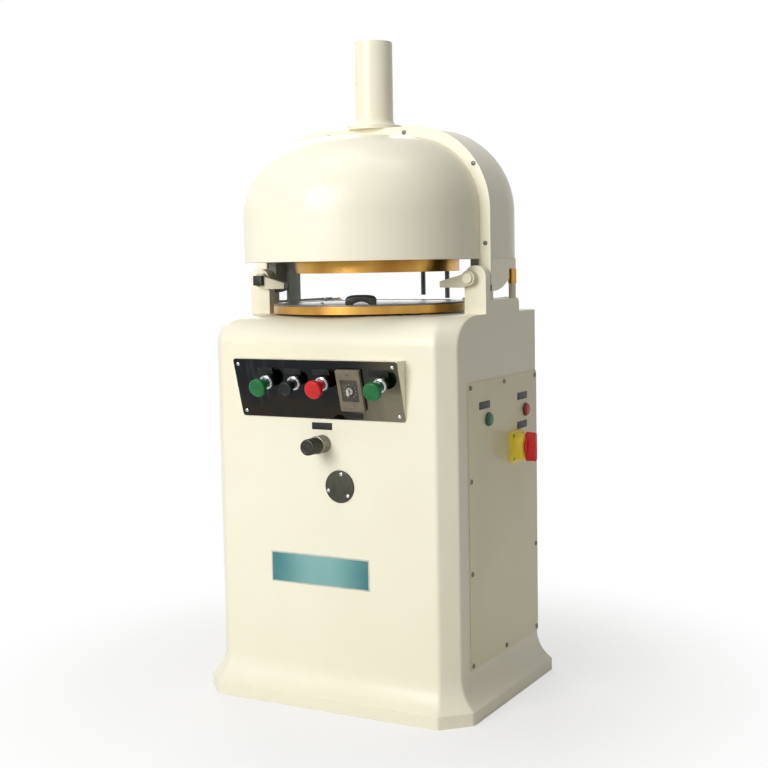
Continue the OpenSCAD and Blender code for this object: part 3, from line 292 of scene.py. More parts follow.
def smoked_mirror(name):
    """Mirror-polished dark panel, near black on the left, with painted reflection in khaki towards its right
    end and foot and a painted highlight along its edges.
    """
    black, grey_streak, wipe_and_reflection_brown = (0.019, 0.021, 0.023), (0.055, 0.06, 0.062), (0.032, 0.028, 0.022)
    olive, pale_khaki, edge_highlight = (0.085, 0.074, 0.052), (0.2, 0.178, 0.125), (0.42, 0.4, 0.34)
    panel_foot, panel_head = 0.645, 0.735
    mirror = Finish(name, Metallic=1.0)
    along = mirror.split(0)
    low = 1 - mirror.split(2).rise(panel_foot, panel_head)
    wipe = mirror.spots(scale=1.0, detail=4.0, stretch=(14, 40, 40))
    streak = mirror.spots(scale=1.0, detail=3.0, stretch=(34, 9, 9))
    smear = mirror.spots(scale=90, detail=5.0)
    # Painted reflection: a khaki tone that grows towards the panel's right end and its foot
    reflection_share = (along + streak * 0.06 + low * 0.02).rise(0.09, 0.22)
    left_end = 1 - along.rise(-0.16, 0.0)
    dark = mirror.mix(streak.rise(0.45, 0.75) * left_end, black, grey_streak)
    # Brown wipes: partly random smears, partly painted reflection towards the panel's foot
    dark = mirror.mix((wipe * 0.6 + low * 0.4).rise(0.45, 0.75), dark, wipe_and_reflection_brown)
    khaki = mirror.mix((low + wipe * 0.6 - 0.2).rise(0.25, 0.85), olive, pale_khaki)
    colour = mirror.mix(reflection_share, dark, khaki)
    # Painted highlight: a pale border along the panel's edges
    colour = mirror.mix(mirror.edge_share(1.6 * mm).rise(0.02, 0.3) * 0.6, colour, edge_highlight)
    mirror.feed("Base Color", colour)
    mirror.feed("Roughness", 0.045 + smear.rise(0.4, 0.8) * 0.07 + wipe * 0.03)
    mirror.bump(wipe, 0.12 * mm, mirror.soft_edge(0.5 * mm))
    return mirror.material


def teal_print(name):
    """Bare coloured name-plate sheet with a painted highlight, lighter through its centre."""
    deep_teal, highlight_teal, haze = (0.035, 0.19, 0.2), (0.2, 0.42, 0.41), (0.16, 0.3, 0.3)
    sheet = Finish(name, IOR=1.5)
    along = sheet.split(0)
    drift = sheet.spots(scale=24, detail=4.0)
    left_side = (along + drift * 0.02).rise(-0.135, -0.03)
    right_side = 1 - (along - drift * 0.02).rise(-0.01, 0.1)
    middle = left_side * right_side
    # Painted highlight: lighter teal through the plate's centre
    colour = sheet.mix(middle, deep_teal, highlight_teal)
    sheet.feed("Base Color", sheet.mix(drift.rise(0.5, 0.75) * 0.15, colour, haze))
    sheet.feed("Roughness", 0.28 + drift * 0.16)
    sheet.bump(sheet.spots(scale=700, detail=2.0), 0.05 * mm, sheet.soft_edge(0.3 * mm))
    return sheet.material


round_lines = (500, 500, 60)
knob_lines = (300, 60, 300)

cream_cast = enamel("cream_cast_enamel", (0.885, 0.848, 0.69), (0.855, 0.813, 0.645), 0.8)
cream_sheet = enamel("cream_sheet_enamel", (0.885, 0.848, 0.69), (0.86, 0.818, 0.655), 0.35, 0.8 * mm)
# Painted shade: the side and back covers take a darker, yellower copy of the cream enamel
shaded_cover_paint = enamel("shaded_cover_enamel", (0.8, 0.75, 0.51), (0.75, 0.7, 0.47), 0.45, 0.6 * mm)
ivory_metal = enamel("claw_enamel", (0.76, 0.71, 0.54), (0.64, 0.59, 0.43), 1.0, 1.0 * mm)
brass = polished_brass("turned_brass")
aluminium = bright_metal("turned_aluminium", (0.5, 0.5, 0.49), (0.36, 0.36, 0.35), 0.36, round_lines)
plate_metal = bright_metal("moulding_plate_metal", (0.2, 0.2, 0.185), (0.13, 0.13, 0.12), 0.42, round_lines)
steel = bright_metal("ground_steel", (0.42, 0.42, 0.43), (0.28, 0.28, 0.29), 0.3)
knife_steel = bright_metal("knife_steel", (0.6, 0.6, 0.6), (0.44, 0.44, 0.45), 0.22, (30, 30, 700))
chrome = bright_metal("chromed_brass", (0.62, 0.63, 0.64), (0.5, 0.51, 0.52), 0.14, (90, 90, 90), 0.4 * mm)
worn_steel = bright_metal("screw_steel", (0.2, 0.19, 0.165), (0.11, 0.105, 0.09), 0.38, (200, 200, 200),
                          0.3 * mm)
dark_rod = bright_metal("blackened_rod", (0.12, 0.125, 0.13), (0.07, 0.072, 0.076), 0.34)
olive_metal = bright_metal("olive_anodised", (0.26, 0.25, 0.2), (0.17, 0.16, 0.125), 0.36, knob_lines)
knob_metal = bright_metal("dark_anodised", (0.06, 0.057, 0.047), (0.035, 0.033, 0.027), 0.36, knob_lines)
disc_metal = bright_metal("disc_anodised", (0.085, 0.083, 0.064), (0.05, 0.049, 0.038), 0.4, (260, 60, 60))
head_frame_paint = two_sided_frame("head_frame_paint", (0.875, 0.825, 0.62), (0.42, 0.45, 0.42))
arm_paint = cast_metal("arm_paint", (0.42, 0.48, 0.42), (0.33, 0.38, 0.33), 0.42)
frame_grey = cast_metal("frame_grey", (0.22, 0.23, 0.21), (0.15, 0.16, 0.145))
motor_grey = cast_metal("motor_paint", (0.1, 0.14, 0.17), (0.07, 0.1, 0.125), 0.45)
tank_paint = cast_metal("tank_paint", (0.3, 0.3, 0.28), (0.22, 0.22, 0.2), 0.45)
belt_rubber = moulded_plastic("belt_rubber", (0.018, 0.018, 0.018), (0.03, 0.03, 0.029), 0.6)
black_plastic = moulded_plastic("black_plastic", (0.006, 0.006, 0.0065), (0.014, 0.014, 0.015), 0.22)
dark_label = moulded_plastic("dark_label", (0.006, 0.0065, 0.007), (0.016, 0.016, 0.016), 0.42, 0.2 * mm)
green_plastic = moulded_plastic("green_plastic", (0.012, 0.16, 0.045), (0.009, 0.115, 0.032), 0.26)
red_plastic = moulded_plastic("red_plastic", (0.6, 0.02, 0.018), (0.48, 0.013, 0.013), 0.26)
side_green_plastic = moulded_plastic("side_green_plastic", (0.02, 0.17, 0.085), (0.014, 0.12, 0.06), 0.24)
side_red_plastic = moulded_plastic("side_red_plastic", (0.55, 0.02, 0.03), (0.4, 0.012, 0.02), 0.24)
yellow_plastic = moulded_plastic("yellow_plastic", (0.98, 0.78, 0.085), (0.92, 0.7, 0.06), 0.34)
handle_red = moulded_plastic("handle_red", (0.72, 0.026, 0.03), (0.6, 0.02, 0.022), 0.32)
beige_plastic = moulded_plastic("beige_plastic", (0.19, 0.16, 0.115), (0.15, 0.127, 0.09), 0.4)
dial_grey = moulded_plastic("dial_grey", (0.07, 0.063, 0.048), (0.05, 0.045, 0.034), 0.42)
pale_plastic = moulded_plastic("pale_plastic", (0.62, 0.6, 0.54), (0.52, 0.5, 0.44), 0.3)
bakelite = moulded_plastic("dark_bakelite", (0.02, 0.019, 0.017), (0.036, 0.034, 0.03), 0.32)
teal_plate_print = teal_print("teal_plate_print")

node_finishes = {
    cream_cast: ["cabinet", "upright_right", "upright_left", "hinge_straps"],
    cream_sheet: ["front_dome", "rear_hood", "top_tube", "console_box"],
    shaded_cover_paint: ["right_cover", "rear_panel"],
    ivory_metal: ["claw_right", "claw_left"],
    brass: ["rounding_table", "chamber_ring", "hinge_bushes"],
    plate_metal: ["moulding_plate"],
    aluminium: ["press_plates", "drive_pulley", "motor_pulley"],
    knife_steel: ["knife_grid"],
    steel: ["plate_pins", "crank_shaft", "shaft_bearings", "ram", "press_cylinder", "counterweight",
            "idler_crank_rear", "idler_crank_left", "idler_crank_right", "base_plate"],
    dark_rod: ["feeler_rods"],
    head_frame_paint: ["head_frame"],
    arm_paint: ["hinge_arms"],
    frame_grey: ["bearing_housing", "motor_bracket"],
    motor_grey: ["drive_motor", "pump_motor"],
    tank_paint: ["oil_tank", "tank_lid", "valve_block"],
    belt_rubber: ["drive_belt"],
    smoked_mirror("smoked_mirror_panel"): ["panel_plate"],
    chrome: ["button_collars", "cover_screws", "cable_gland"],
    green_plastic: ["green_button_left", "green_button_right"],
    black_plastic: ["black_button", "side_bezels"],
    red_plastic: ["red_button"],
    beige_plastic: ["timer_case"],
    pale_plastic: ["timer_knob"],
    olive_metal: ["adjuster_collar", "adjuster_knob"],
    disc_metal: ["inspection_disc"],
    side_green_plastic: ["side_green_button"],
    side_red_plastic: ["side_red_button"],
    yellow_plastic: ["isolator_base"],
    handle_red: ["isolator_handle"],
    bakelite: ["plate_handle"],
}
for finish, names in node_finishes.items():
    for name in names:
        nodes[name].data.materials.clear()
        nodes[name].data.materials.append(finish)


# Seats on the part's faces for pieces drawn in millimetres: local X right, local Y up, local Z outwards

console_lean = 36
console_rise = 127
panel_tilt = math.atan2(console_lean, console_rise)
panel_middle = Vector((-5, -260, 694.5))
panel_up = Vector((0, -math.sin(panel_tilt), math.cos(panel_tilt)))
panel_thick = 2.5
back_wall = 242
front_face = -back_wall
back_face = 244
side_face = 302


def seat(origin, right, up):
    """Place and turn of a face's frame, from millimetres to metres."""
    turn = Matrix((right, up, Vector(right).cross(Vector(up)))).transposed().to_4x4()
    return Matrix.Translation(Vector(origin) * mm) @ turn @ Matrix.Scale(mm, 4)


def on_panel(across, up, out=0.0):
    right = Vector((1, 0, 0))
    return seat(panel_middle + across * right + up * panel_up + out * right.cross(panel_up), right, panel_up)


def on_front(across, height, face=front_face):
    return seat((across, face, height), Vector((1, 0, 0)), Vector((0, 0, 1)))


def on_side(back, height):
    return seat((side_face, back, height), Vector((0, 1, 0)), Vector((0, 0, 1)))


def on_back(across, height):
    return seat((across, back_face, height), Vector((-1, 0, 0)), Vector((0, 0, 1)))


# Places of the controls, in millimetres

button_row = 14
green_left_across = -125
black_across = -55
red_across = 15
green_right_across = 155
timer_across = 85
timer_up = 2
timer_seat = on_panel(timer_across, timer_up)
adjuster_seat = on_front(-5, 576)
disc_across = 35
disc_height = 486
disc_seat = on_front(disc_across, disc_height)
name_plate_seat = on_front(-20.5, 299)
shade_cap_seat = on_front(-265, 923, -82.3)
side_button_height = 622
side_green_back = -66
side_red_back = 137
switch_back = 78
switch_height = 546
switch_seat = on_side(switch_back, switch_height)
gland_seat = seat((245, back_wall, 165), Vector((-1, 0, 0)), Vector((0, 0, 1)))


# Forms

longest_ease = 0.48
on_axis = 1e-6
fluted_band = 0.97
flute_keenness = 3


def eased(corners, steps=4):
    """Outline through (radius, height, round) corners, each corner rounded off."""
    outline = []
    for i, (radius, height, ease) in enumerate(corners):
        here = Vector((radius, height))
        if ease == 0 or i in (0, len(corners) - 1):
            outline.append(here)
            continue
        before = Vector(corners[i - 1][:2]) - here
        after = Vector(corners[i + 1][:2]) - here
        reach = min(ease, before.length * longest_ease, after.length * longest_ease)
        start = here + before.normalized() * reach
        end = here + after.normalized() * reach
        for step in range(steps + 1):
            share = step / steps
            outline.append(start.lerp(here, share).lerp(here.lerp(end, share), share))
    return outline


def lathe(corners, steps=64, flutes=0, depth=0.0, ring=False):
    """Turned form about local Z; flutes run along it where the outline is widest."""
    form = bmesh.new()
    outline = eased(corners)
    widest = max(point.x for point in outline)
    rows = []
    for radius, height in outline:
        if radius < on_axis:
            rows.append([form.verts.new((0, 0, height))])
            continue
        row = []
        for step in range(steps):
            angle = 2 * math.pi * step / steps
            out = radius
            if flutes and radius > widest * fluted_band:
                out -= depth * abs(math.cos(angle * flutes / 2)) ** flute_keenness
            row.append(form.verts.new((out * math.cos(angle), out * math.sin(angle), height)))
        rows.append(row)
    if ring:
        rows.append(rows[0])
    for low, high in zip(rows, rows[1:]):
        for step in range(steps):
            corner = [low[step % len(low)], low[(step + 1) % len(low)],
                      high[(step + 1) % len(high)], high[step % len(high)]]
            corner = list(dict.fromkeys(corner))
            if len(corner) > 2:
                form.faces.new(corner)
    return form


def round_rect(width, height, corner, level, steps=6):
    """Loop of a rectangle with round corners at a level of local Z."""
    loop = []
    for quarter, (x, y) in enumerate(((1, 1), (-1, 1), (-1, -1), (1, -1))):
        for step in range(steps + 1):
            angle = math.pi / 2 * (quarter + step / steps)
            loop.append((
                x * (width / 2 - corner) + corner * math.cos(angle),
                y * (height / 2 - corner) + corner * math.sin(angle), level,
            ))
    return loop


def slab(width, height, corner, low, high, ease):
    """Loops of a plate with rounded corners and an eased front edge."""
    loops = [round_rect(width, height, corner, low)]
    for turn in (0, 30, 60, 90):
        inset = ease * (1 - math.cos(math.radians(turn)))
        level = high - ease * (1 - math.sin(math.radians(turn)))
        loops.append(round_rect(width - 2 * inset, height - 2 * inset, max(corner - inset, 0.05), level))
    return loops


def loft(loops):
    """Closed form through loops with as many points each."""
    form = bmesh.new()
    rows = [[form.verts.new(point) for point in loop] for loop in loops]
    for low, high in zip(rows, rows[1:]):
        for i in range(len(low)):
            form.faces.new((low[i - 1], low[i], high[i], high[i - 1]))
    form.faces.new(rows[0][::-1])
    form.faces.new(rows[-1])
    return form


def gather(parts):
    """One form from (form, seat) pairs."""
    whole = bmesh.new()
    for part, place in parts:
        sheet = bpy.data.meshes.new("part")
        part.to_mesh(sheet)
        start = len(whole.verts)
        whole.from_mesh(sheet)
        whole.verts.ensure_lookup_table()
        bmesh.ops.transform(whole, matrix=place, verts=whole.verts[start:])
        bpy.data.meshes.remove(sheet)
    return whole


def carve(form, tool, how="DIFFERENCE"):
    """What is left of a form when the tool's shape is cut out of it, or both in one."""
    holders = []
    for part in (form, tool):
        sheet = bpy.data.meshes.new("carve")
        part.to_mesh(sheet)
        holders.append(bpy.data.objects.new("carve", sheet))
        bpy.context.scene.collection.objects.link(holders[-1])
    cut = holders[0].modifiers.new("cut", "BOOLEAN")
    cut.operation = how
    cut.solver = "EXACT"
    cut.object = holders[1]
    rest = bmesh.new()
    rest.from_object(holders[0], bpy.context.evaluated_depsgraph_get())
    for holder in holders:
        bpy.data.objects.remove(holder)
    return rest


def fit(name, form, finish, body, place=None, stands_for=(), keen=32, large_flats=False):
    """Makes the piece, seats it on the part and lets it ride with its body."""
    if place:
        form.transform(place)
    bmesh.ops.recalc_face_normals(form, faces=form.faces)
    mesh = bpy.data.meshes.new(name)
    form.to_mesh(mesh)
    form.free()
    mesh.shade_smooth()
    mesh.set_sharp_from_angle(angle=math.radians(keen))
    mesh.materials.append(finish)
    piece = bpy.data.objects.new(name, mesh)
    bpy.context.scene.collection.objects.link(piece)
    if large_flats:
        piece.modifiers.new("true_flats", "WEIGHTED_NORMAL").keep_sharp = True
    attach(piece, body)
    if stands_for:
        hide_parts(*stands_for)


# Cabinet casting: its round top edge runs on from the front over the two front corner cuts

casting_half_width = 300
casting_half_depth = back_wall
casting_top = 846
side_wall = 9
top_wall = 12
corner_cut = 36
corner_soft = 14
top_round = 62
foot_out = 32
foot_corner_out = 30.4
foot_edge = 27
cove_top = 92
cove_steps = 14
front_corner_blend = 0.55
idler_ring = 150
idler_turns = (90, 210, 330)
idler_boss = 22
idler_boss_drop = 24
idler_bore = 10.05
crank_well = 62
side_opening = (320, 562)
side_opening_place = (casting_half_width, -140, 120)
rear_opening = (392, 478)
rear_opening_place = (196, casting_half_depth, 154)
console_opening = (363, 99)
console_opening_place = (-186.5, 645)
adjuster_hole = 8.3
disc_hole = 26
gland_hole = 10.05
overrun = 2
plan_sides = 8
plan_turn = 2 * math.pi / plan_sides
front_sides = (5, 6, 7)
front_corners = (5, 6)


def foot_reach(height, out):
    """How far the foot's hollow curve stands out at a height."""
    cove = cove_top - foot_edge
    bend = (cove ** 2 + out ** 2) / (2 * out)
    rise = min(cove, max(0, cove_top - height))
    return bend - math.sqrt(bend ** 2 - rise ** 2)


def casting_plan(height, level, inset=0.0, fall=0.0, steps=5):
    """Eight-sided plan with soft corners; fall draws in the front and its two corner cuts."""
    diagonal = (casting_half_width + casting_half_depth - corner_cut) * math.sqrt(0.5)
    facing = [Vector((math.cos(turn * plan_turn), math.sin(turn * plan_turn))) for turn in range(plan_sides)]
    reaches = []
    for turn in range(plan_sides):
        straight = (casting_half_width, casting_half_depth)[turn // 2 % 2]
        reach = diagonal if turn % 2 else straight
        reach += foot_reach(height, foot_corner_out if turn % 2 else foot_out)
        reaches.append(reach - inset - (fall if turn in front_sides else 0))
    loop = []
    for turn in range(plan_sides):
        following = (turn + 1) % plan_sides
        ease = corner_soft - inset + (fall * front_corner_blend if turn in front_corners else 0)
        soft = ease * math.tan(plan_turn / 2)
        here, there = reaches[turn], reaches[following]
        first, second = facing[turn], facing[following]
        lean = first.dot(second)
        corner = ((here - lean * there) * first + (there - lean * here) * second) / (1 - lean ** 2)
        start = corner - soft * first.orthogonal()
        end = corner + soft * second.orthogonal()
        for step in range(steps + 1):
            share = step / steps
            point = start.lerp(corner, share).lerp(corner.lerp(end, share), share)
            loop.append((point.x, point.y, level))
    return loop


def rounded_top(height, inset, radius, turns=14):
    """Plans up the round top edge, to a height."""
    loops = []
    for turn in range(turns + 1):
        angle = math.pi / 2 * turn / turns
        fall = radius * (1 - math.cos(angle))
        loops.append(casting_plan(cove_top, height - radius * (1 - math.sin(angle)), inset, fall))
    return loops


def bore(radius, low, high):
    """Round bar along local Z, for a boss or a hole."""
    return lathe([(0, low, 0), (radius, low, 0), (radius, high, 0), (0, high, 0)])


def opening(width, height):
    """Four-cornered hole through a wall, drawn from its seat at a lower corner."""
    corner = ((0, 0), (width, 0), (width, height), (0, height))
    return loft([[(x, y, level) for x, y in corner] for level in (-side_wall - overrun, overrun)])


def cabinet_casting():
    """Hollow casting with the idlers' bosses, its bores, and openings behind the covers and the console."""
    cove_levels = [foot_edge + (cove_top - foot_edge) * step / cove_steps for step in range(cove_steps + 1)]
    outside = loft([casting_plan(level, level) for level in [0] + cove_levels]
                   + rounded_top(casting_top, 0, top_round))
    under_top = casting_top - top_wall
    hollow = loft([casting_plan(cove_top, -overrun, side_wall)]
                  + rounded_top(under_top, side_wall, top_round - side_wall))
    idler_places = [Matrix.Rotation(math.radians(turn), 4, "Z") @ Matrix.Translation((idler_ring, 0, 0))
                    for turn in idler_turns]
    boss_foot = under_top - idler_boss_drop
    boss_head = casting_top - top_wall / 2
    bosses = gather([(bore(idler_boss, boss_foot, boss_head), place) for place in idler_places])
    to_mm = Matrix.Scale(1 / mm, 4)
    side_corner = seat(side_opening_place, (0, 1, 0), (0, 0, 1))
    rear_corner = seat(rear_opening_place, (-1, 0, 0), (0, 0, 1))
    console_corner = on_front(*console_opening_place)
    wall_hole = (-side_wall - overrun, overrun)
    holes = [(bore(idler_bore, boss_foot - overrun, casting_top + overrun), place) for place in idler_places]
    holes += [
        (bore(crank_well, under_top - overrun, casting_top + overrun), Matrix.Identity(4)),
        (opening(*side_opening), to_mm @ side_corner),
        (opening(*rear_opening), to_mm @ rear_corner),
        (opening(*console_opening), to_mm @ console_corner),
        (bore(adjuster_hole, *wall_hole), to_mm @ adjuster_seat),
        (bore(disc_hole, *wall_hole), to_mm @ disc_seat),
        (bore(gland_hole, *wall_hole), to_mm @ gland_seat),
    ]
    shell = carve(outside, hollow)
    return carve(carve(shell, bosses, "UNION"), gather(holes))


fit("cabinet_casting", cabinet_casting(), cream_cast, "root", Matrix.Scale(mm, 4), ["cabinet"],
    large_flats=True)


# Screws

turn_between_screws = 0.7
cover_columns = (-154, 194)
cover_middle = 20
cover_rows = [106, 302.67, 499.33, 696]
rear_columns = (-210, 210)
rear_rows = [140, 308.67, 477.33, 646]
flange_face = -40
flange_places = ((96, 1242), (262, 1167), (288, 997))
panel_columns = (-190, 190)
panel_rows = (-54, 54)
disc_thick = 4
disc_screw_ring = 28
disc_screw_turns = (79, 199, 319)


def cross_head(radius, height):
    """Low round screw head with a cross recess."""
    head = lathe([
        (0, 0, 0), (radius, 0, 0), (radius, height * 0.45, height * 0.3),
        (radius * 0.62, height * 0.95, radius * 0.3), (0, height, 0),
    ], 32)
    recess = slab(radius * 1.15, radius * 0.26, corner=0.05, low=height * 0.35, high=height * 1.4, ease=0.02)
    crossways = gather([(loft(recess), Matrix.Rotation(math.pi / 2, 4, "Z"))])
    return carve(carve(head, loft(recess)), crossways)


def screw_set(name, radius, height, seats, finish, body, stands_for=()):
    """Like screws as one piece, the cross of each turned a little further."""
    head = cross_head(radius, height)
    screws = [(head, place @ Matrix.Rotation(turn_between_screws * number, 4, "Z"))
              for number, place in enumerate(seats)]
    fit(name, gather(screws), finish, body, None, stands_for)


screw_set(
    "cover_screw_heads", 5.5, 3,
    [on_side(back, height) for back in cover_columns for height in cover_rows]
    + [on_side(cover_middle, height) for height in (cover_rows[0], cover_rows[-1])]
    + [on_back(across, height) for across in rear_columns for height in rear_rows],
    worn_steel, "root", ["cover_screws"],
)
screw_set(
    "flange_screws", 5, 2.6,
    [on_front(side * across, height, flange_face) for side in (-1, 1) for across, height in flange_places],
    worn_steel, "head",
)
screw_set(
    "panel_screws", 4, 2,
    [on_panel(across, up, panel_thick) for across in panel_columns for up in panel_rows],
    chrome, "root",
)
screw_set(
    "disc_screws", 4, 1.8,
    [on_front(disc_across + disc_screw_ring * math.cos(turn), disc_height + disc_screw_ring * math.sin(turn),
              front_face - disc_thick)
     for turn in map(math.radians, disc_screw_turns)],
    chrome, "root",
)


# Push-buttons on the panel

mushroom_outline = [
    (0, -19.5, 0), (10.9, -19.5, 0.6), (10.9, 29.2, 1), (16.5, 30.6, 1.5), (19.7, 32.2, 1.2),
    (20, 34, 0.8), (20, 40.8, 2.4), (18.4, 43.6, 2.4), (0, 44.4, 0),
]
dished_outline = [
    (0, -19.5, 0), (10.9, -19.5, 0.6), (10.9, 29.6, 1), (13.8, 30.6, 1), (15, 32, 0.8), (15, 38, 1.2),
    (13.2, 39.4, 0.8), (12.2, 38.7, 0.5), (0, 38.3, 0),
]
collar_outline = [
    (11.1, 2.5, 0), (16, 2.5, 0.3), (16, 5.4, 0.6), (14.9, 5.9, 0.3), (14.9, 7.3, 0.6), (13.4, 8.5, 0.6),
    (11.1, 8.5, 0.3),
]


def push_button(name, across, head, finish, body):
    """A button's head and stem in the row on the panel."""
    fit(name + "_head", head, finish, body, on_panel(across, button_row), [name])


for name, across, finish, body, slot in (
        ("green_button_left", green_left_across, green_plastic, "green_left", "green_plastic"),
        ("red_button", red_across, red_plastic, "red_push", "red_plastic"),
        ("green_button_right", green_right_across, green_plastic, "green_right", "green_plastic")):
    push_button(name, across, lathe(mushroom_outline, 72), finish, body)
push_button("black_button", black_across, lathe(dished_outline), black_plastic, "black_push")
collars = [
    (lathe(collar_outline, 96, flutes=24, depth=0.5, ring=True), on_panel(across, button_row))
    for across in (green_left_across, black_across, red_across, green_right_across)
]
fit("chromed_collars", gather(collars), chrome, "root", None, ["button_collars"])


# Timer: plate with a sunk dial, a pointer knob and plain ticks

timer_front = panel_thick + 8
timer_screw_up = 37
tick_count = 11
tick_ring = 14.2
first_tick_turn = 150
tick_turn = 30
timer_knob_outline = [
    (0, -7.5, 0), (2.9, -7.5, 0.2), (2.9, 9, 0.2), (8, 9, 0.5), (8, 12.6, 1), (5.6, 13.6, 0.6), (0, 13.6, 0),
]


def timer_tick(number):
    """One tick and its place round the dial; each fifth one is longer."""
    length = 2.2 if number % 5 else 3.4
    turned = Matrix.Rotation(math.radians(first_tick_turn - tick_turn * number), 4, "Z")
    place = timer_seat @ turned @ Matrix.Translation((0, tick_ring, 0))
    return loft(slab(0.9, length, corner=0.2, low=8.7, high=8.95, ease=0.08)), place


timer_body = [round_rect(39.2, 47.2, 0.4, level) for level in (-15.5, panel_thick)]
timer_body += slab(58, 92, corner=3, low=panel_thick, high=timer_front, ease=1.6)
timer_body += [
    round_rect(41.4, 49.4, 1.4, timer_front), round_rect(40, 48, 0.8, 9.8), round_rect(40, 48, 0.8, 8.5),
]
fit("timer_plate", loft(timer_body), beige_plastic, "root", timer_seat, ["timer_case"])
dial_face = loft(slab(39.6, 47.6, corner=0.7, low=8.45, high=8.75, ease=0.1))
fit("timer_dial_face", dial_face, dial_grey, "root", timer_seat)
fit("timer_ticks", gather([timer_tick(number) for number in range(tick_count)]), pale_plastic, "root")
timer_disc = lathe(timer_knob_outline, 60, flutes=20, depth=0.5)
timer_pointer = loft(slab(5.6, 14.4, corner=2.4, low=12, high=20.7, ease=1.4))
fit("timer_pointer_knob", gather([(timer_disc, timer_seat), (timer_pointer, timer_seat)]), pale_plastic,
    "timer_dial", None, ["timer_knob"])
screw_set(
    "timer_screws", 2.8, 1.4,
    [on_panel(timer_across, timer_up + side * timer_screw_up, timer_front) for side in (-1, 1)],
    worn_steel, "root",
)


# Bare label plates: places on their face, then width and height

panel_labels = [
    (-123, 40, 38, 15), (-53, 40, 40, 13), (17, 40, 42, 12.5), (155, 40, 47, 15), (80, -56.5, 46, 11),
]
side_labels = [(-84, 654, 54, 16), (120, 655, 54, 16), (118, 590, 54, 16)]


def label(name, width, height, place, finish=dark_label, thick=0.9):
    """Thin bare plate with soft edges."""
    sheet = loft(slab(width, height, corner=1.2, low=0, high=thick, ease=0.3))
    fit(name, sheet, finish, "root", place)


for number, (across, up, width, height) in enumerate(panel_labels):
    label(f"panel_label_{number}", width, height, on_panel(across, up, panel_thick))
label("adjuster_label", 50, 15, on_front(-6.5, 614))
for number, (back, up, width, height) in enumerate(side_labels):
    label(f"side_label_{number}", width, height, on_side(back, up))
label("name_plate_rim", 247, 68, name_plate_seat, pale_plastic, 0.8)
label("bare_name_plate", 241, 62, name_plate_seat, teal_plate_print, 1.3)


# Bow handle of the moulding plate, with a low finger arch

orbit_throw = 18
plate_top = 871
handle_turn = math.radians(24)
handle_place = 218
bow_half_length = 33
bow_end_height = 6
bow_rise = 15
bow_end_width = 11
bow_swell = 11
bow_fullness = 3.5
bow_corner = 0.42
bow_steps = 32
arch_half_length = 17
arch_height = 6.5
arch_fullness = 0.7


def bow_loops():
    """Sections along the bow, full in the middle and hollow under it."""
    loops = []
    for step in range(bow_steps + 1):
        along = -bow_half_length * math.cos(math.pi * step / bow_steps)
        fall = (1 - min(1, abs(along) / bow_half_length) ** bow_fullness) ** (1 / bow_fullness)
        top = bow_end_height + bow_rise * fall
        low = arch_height * max(0.0, 1 - (along / arch_half_length) ** 2) ** arch_fullness
        width = bow_end_width + bow_swell * fall
        corner = bow_corner * min(width, top - low)
        loops.append([(x, y + (top + low) / 2, z) for x, y, z in round_rect(width, top - low, corner, along)])
    return loops


handle_out = Vector((math.sin(handle_turn), -math.cos(handle_turn), 0))
handle_foot = Vector((-orbit_throw, 0, plate_top)) + handle_place * handle_out
fit("bow_handle", loft(bow_loops()), bakelite, "table",
    seat(handle_foot, handle_out, Vector((0, 0, 1))), ["plate_handle"], keen=50)


# Dark cap on the left claw's pin: painted shade, standing for the shaded recess there

claw_shade_cap = loft(slab(25, 23, corner=3, low=0.4, high=10, ease=2))
fit("left_claw_shade_cap", claw_shade_cap, bakelite, "root", shade_cap_seat)


# Portion adjuster and inspection disc

sleeve_outline = [
    (8.2, 0, 0), (19.5, 0, 0.4), (19.5, 5, 0.8), (18.3, 6, 0.6), (18.3, 22, 0.6), (19.5, 23, 0.8),
    (19.5, 27, 1.2), (17.5, 28, 0.5), (8.2, 28, 0),
]
adjuster_outline = [
    (0, -8.8, 0), (7.9, -8.8, 0.4), (7.9, 28.3, 0.3), (17.2, 28.4, 1), (17.5, 31, 0.4), (17.5, 63, 1),
    (16.2, 65.4, 1.2), (12.5, 65.8, 0.6), (11.6, 65, 0.5), (4.5, 65, 0.4), (4, 65.9, 0.4), (0, 66, 0),
]
disc_outline = [
    (0, -4.4, 0), (25.6, -4.4, 0.4), (25.6, -0.1, 0), (35, 0, 0.2), (35, 2.6, 1.2), (33.4, disc_thick, 0.8),
    (0, disc_thick, 0),
]
fit("adjuster_sleeve", lathe(sleeve_outline, 72, ring=True), olive_metal, "root",
    adjuster_seat, ["adjuster_collar"])
fit("adjuster_grip", lathe(adjuster_outline, 144, flutes=18, depth=1.2), knob_metal, "adjuster",
    adjuster_seat, ["adjuster_knob"])
fit("inspection_cap", lathe(disc_outline, 96), disc_metal, "root",
    disc_seat, ["inspection_disc"])


# Side buttons

bezel_outline = [(13.9, 0, 0), (15, 0, 0.2), (15, 2.8, 0.6), (14.4, 4, 0.3), (13.9, 4, 0.2)]
lens_outline = [
    (0, -17.8, 0), (11.5, -17.8, 0.5), (11.5, -0.2, 0.3), (13.8, 0, 0.3), (13.8, 6, 1.8), (11, 8.4, 1.8),
    (0, 9, 0),
]
bezels = [(lathe(bezel_outline, ring=True), on_side(back, side_button_height))
          for back in (side_green_back, side_red_back)]
fit("side_bezel_rings", gather(bezels), dial_grey, "root", None, ["side_bezels"])
for name, back, finish, body, slot in (
        ("side_green_button", side_green_back, side_green_plastic, "side_green", "green_plastic"),
        ("side_red_button", side_red_back, side_red_plastic, "side_red", "red_plastic")):
    fit(name + "_lens", lathe(lens_outline), finish, body, on_side(back, side_button_height), [name])


# Main switch: yellow plate and collar, red handle

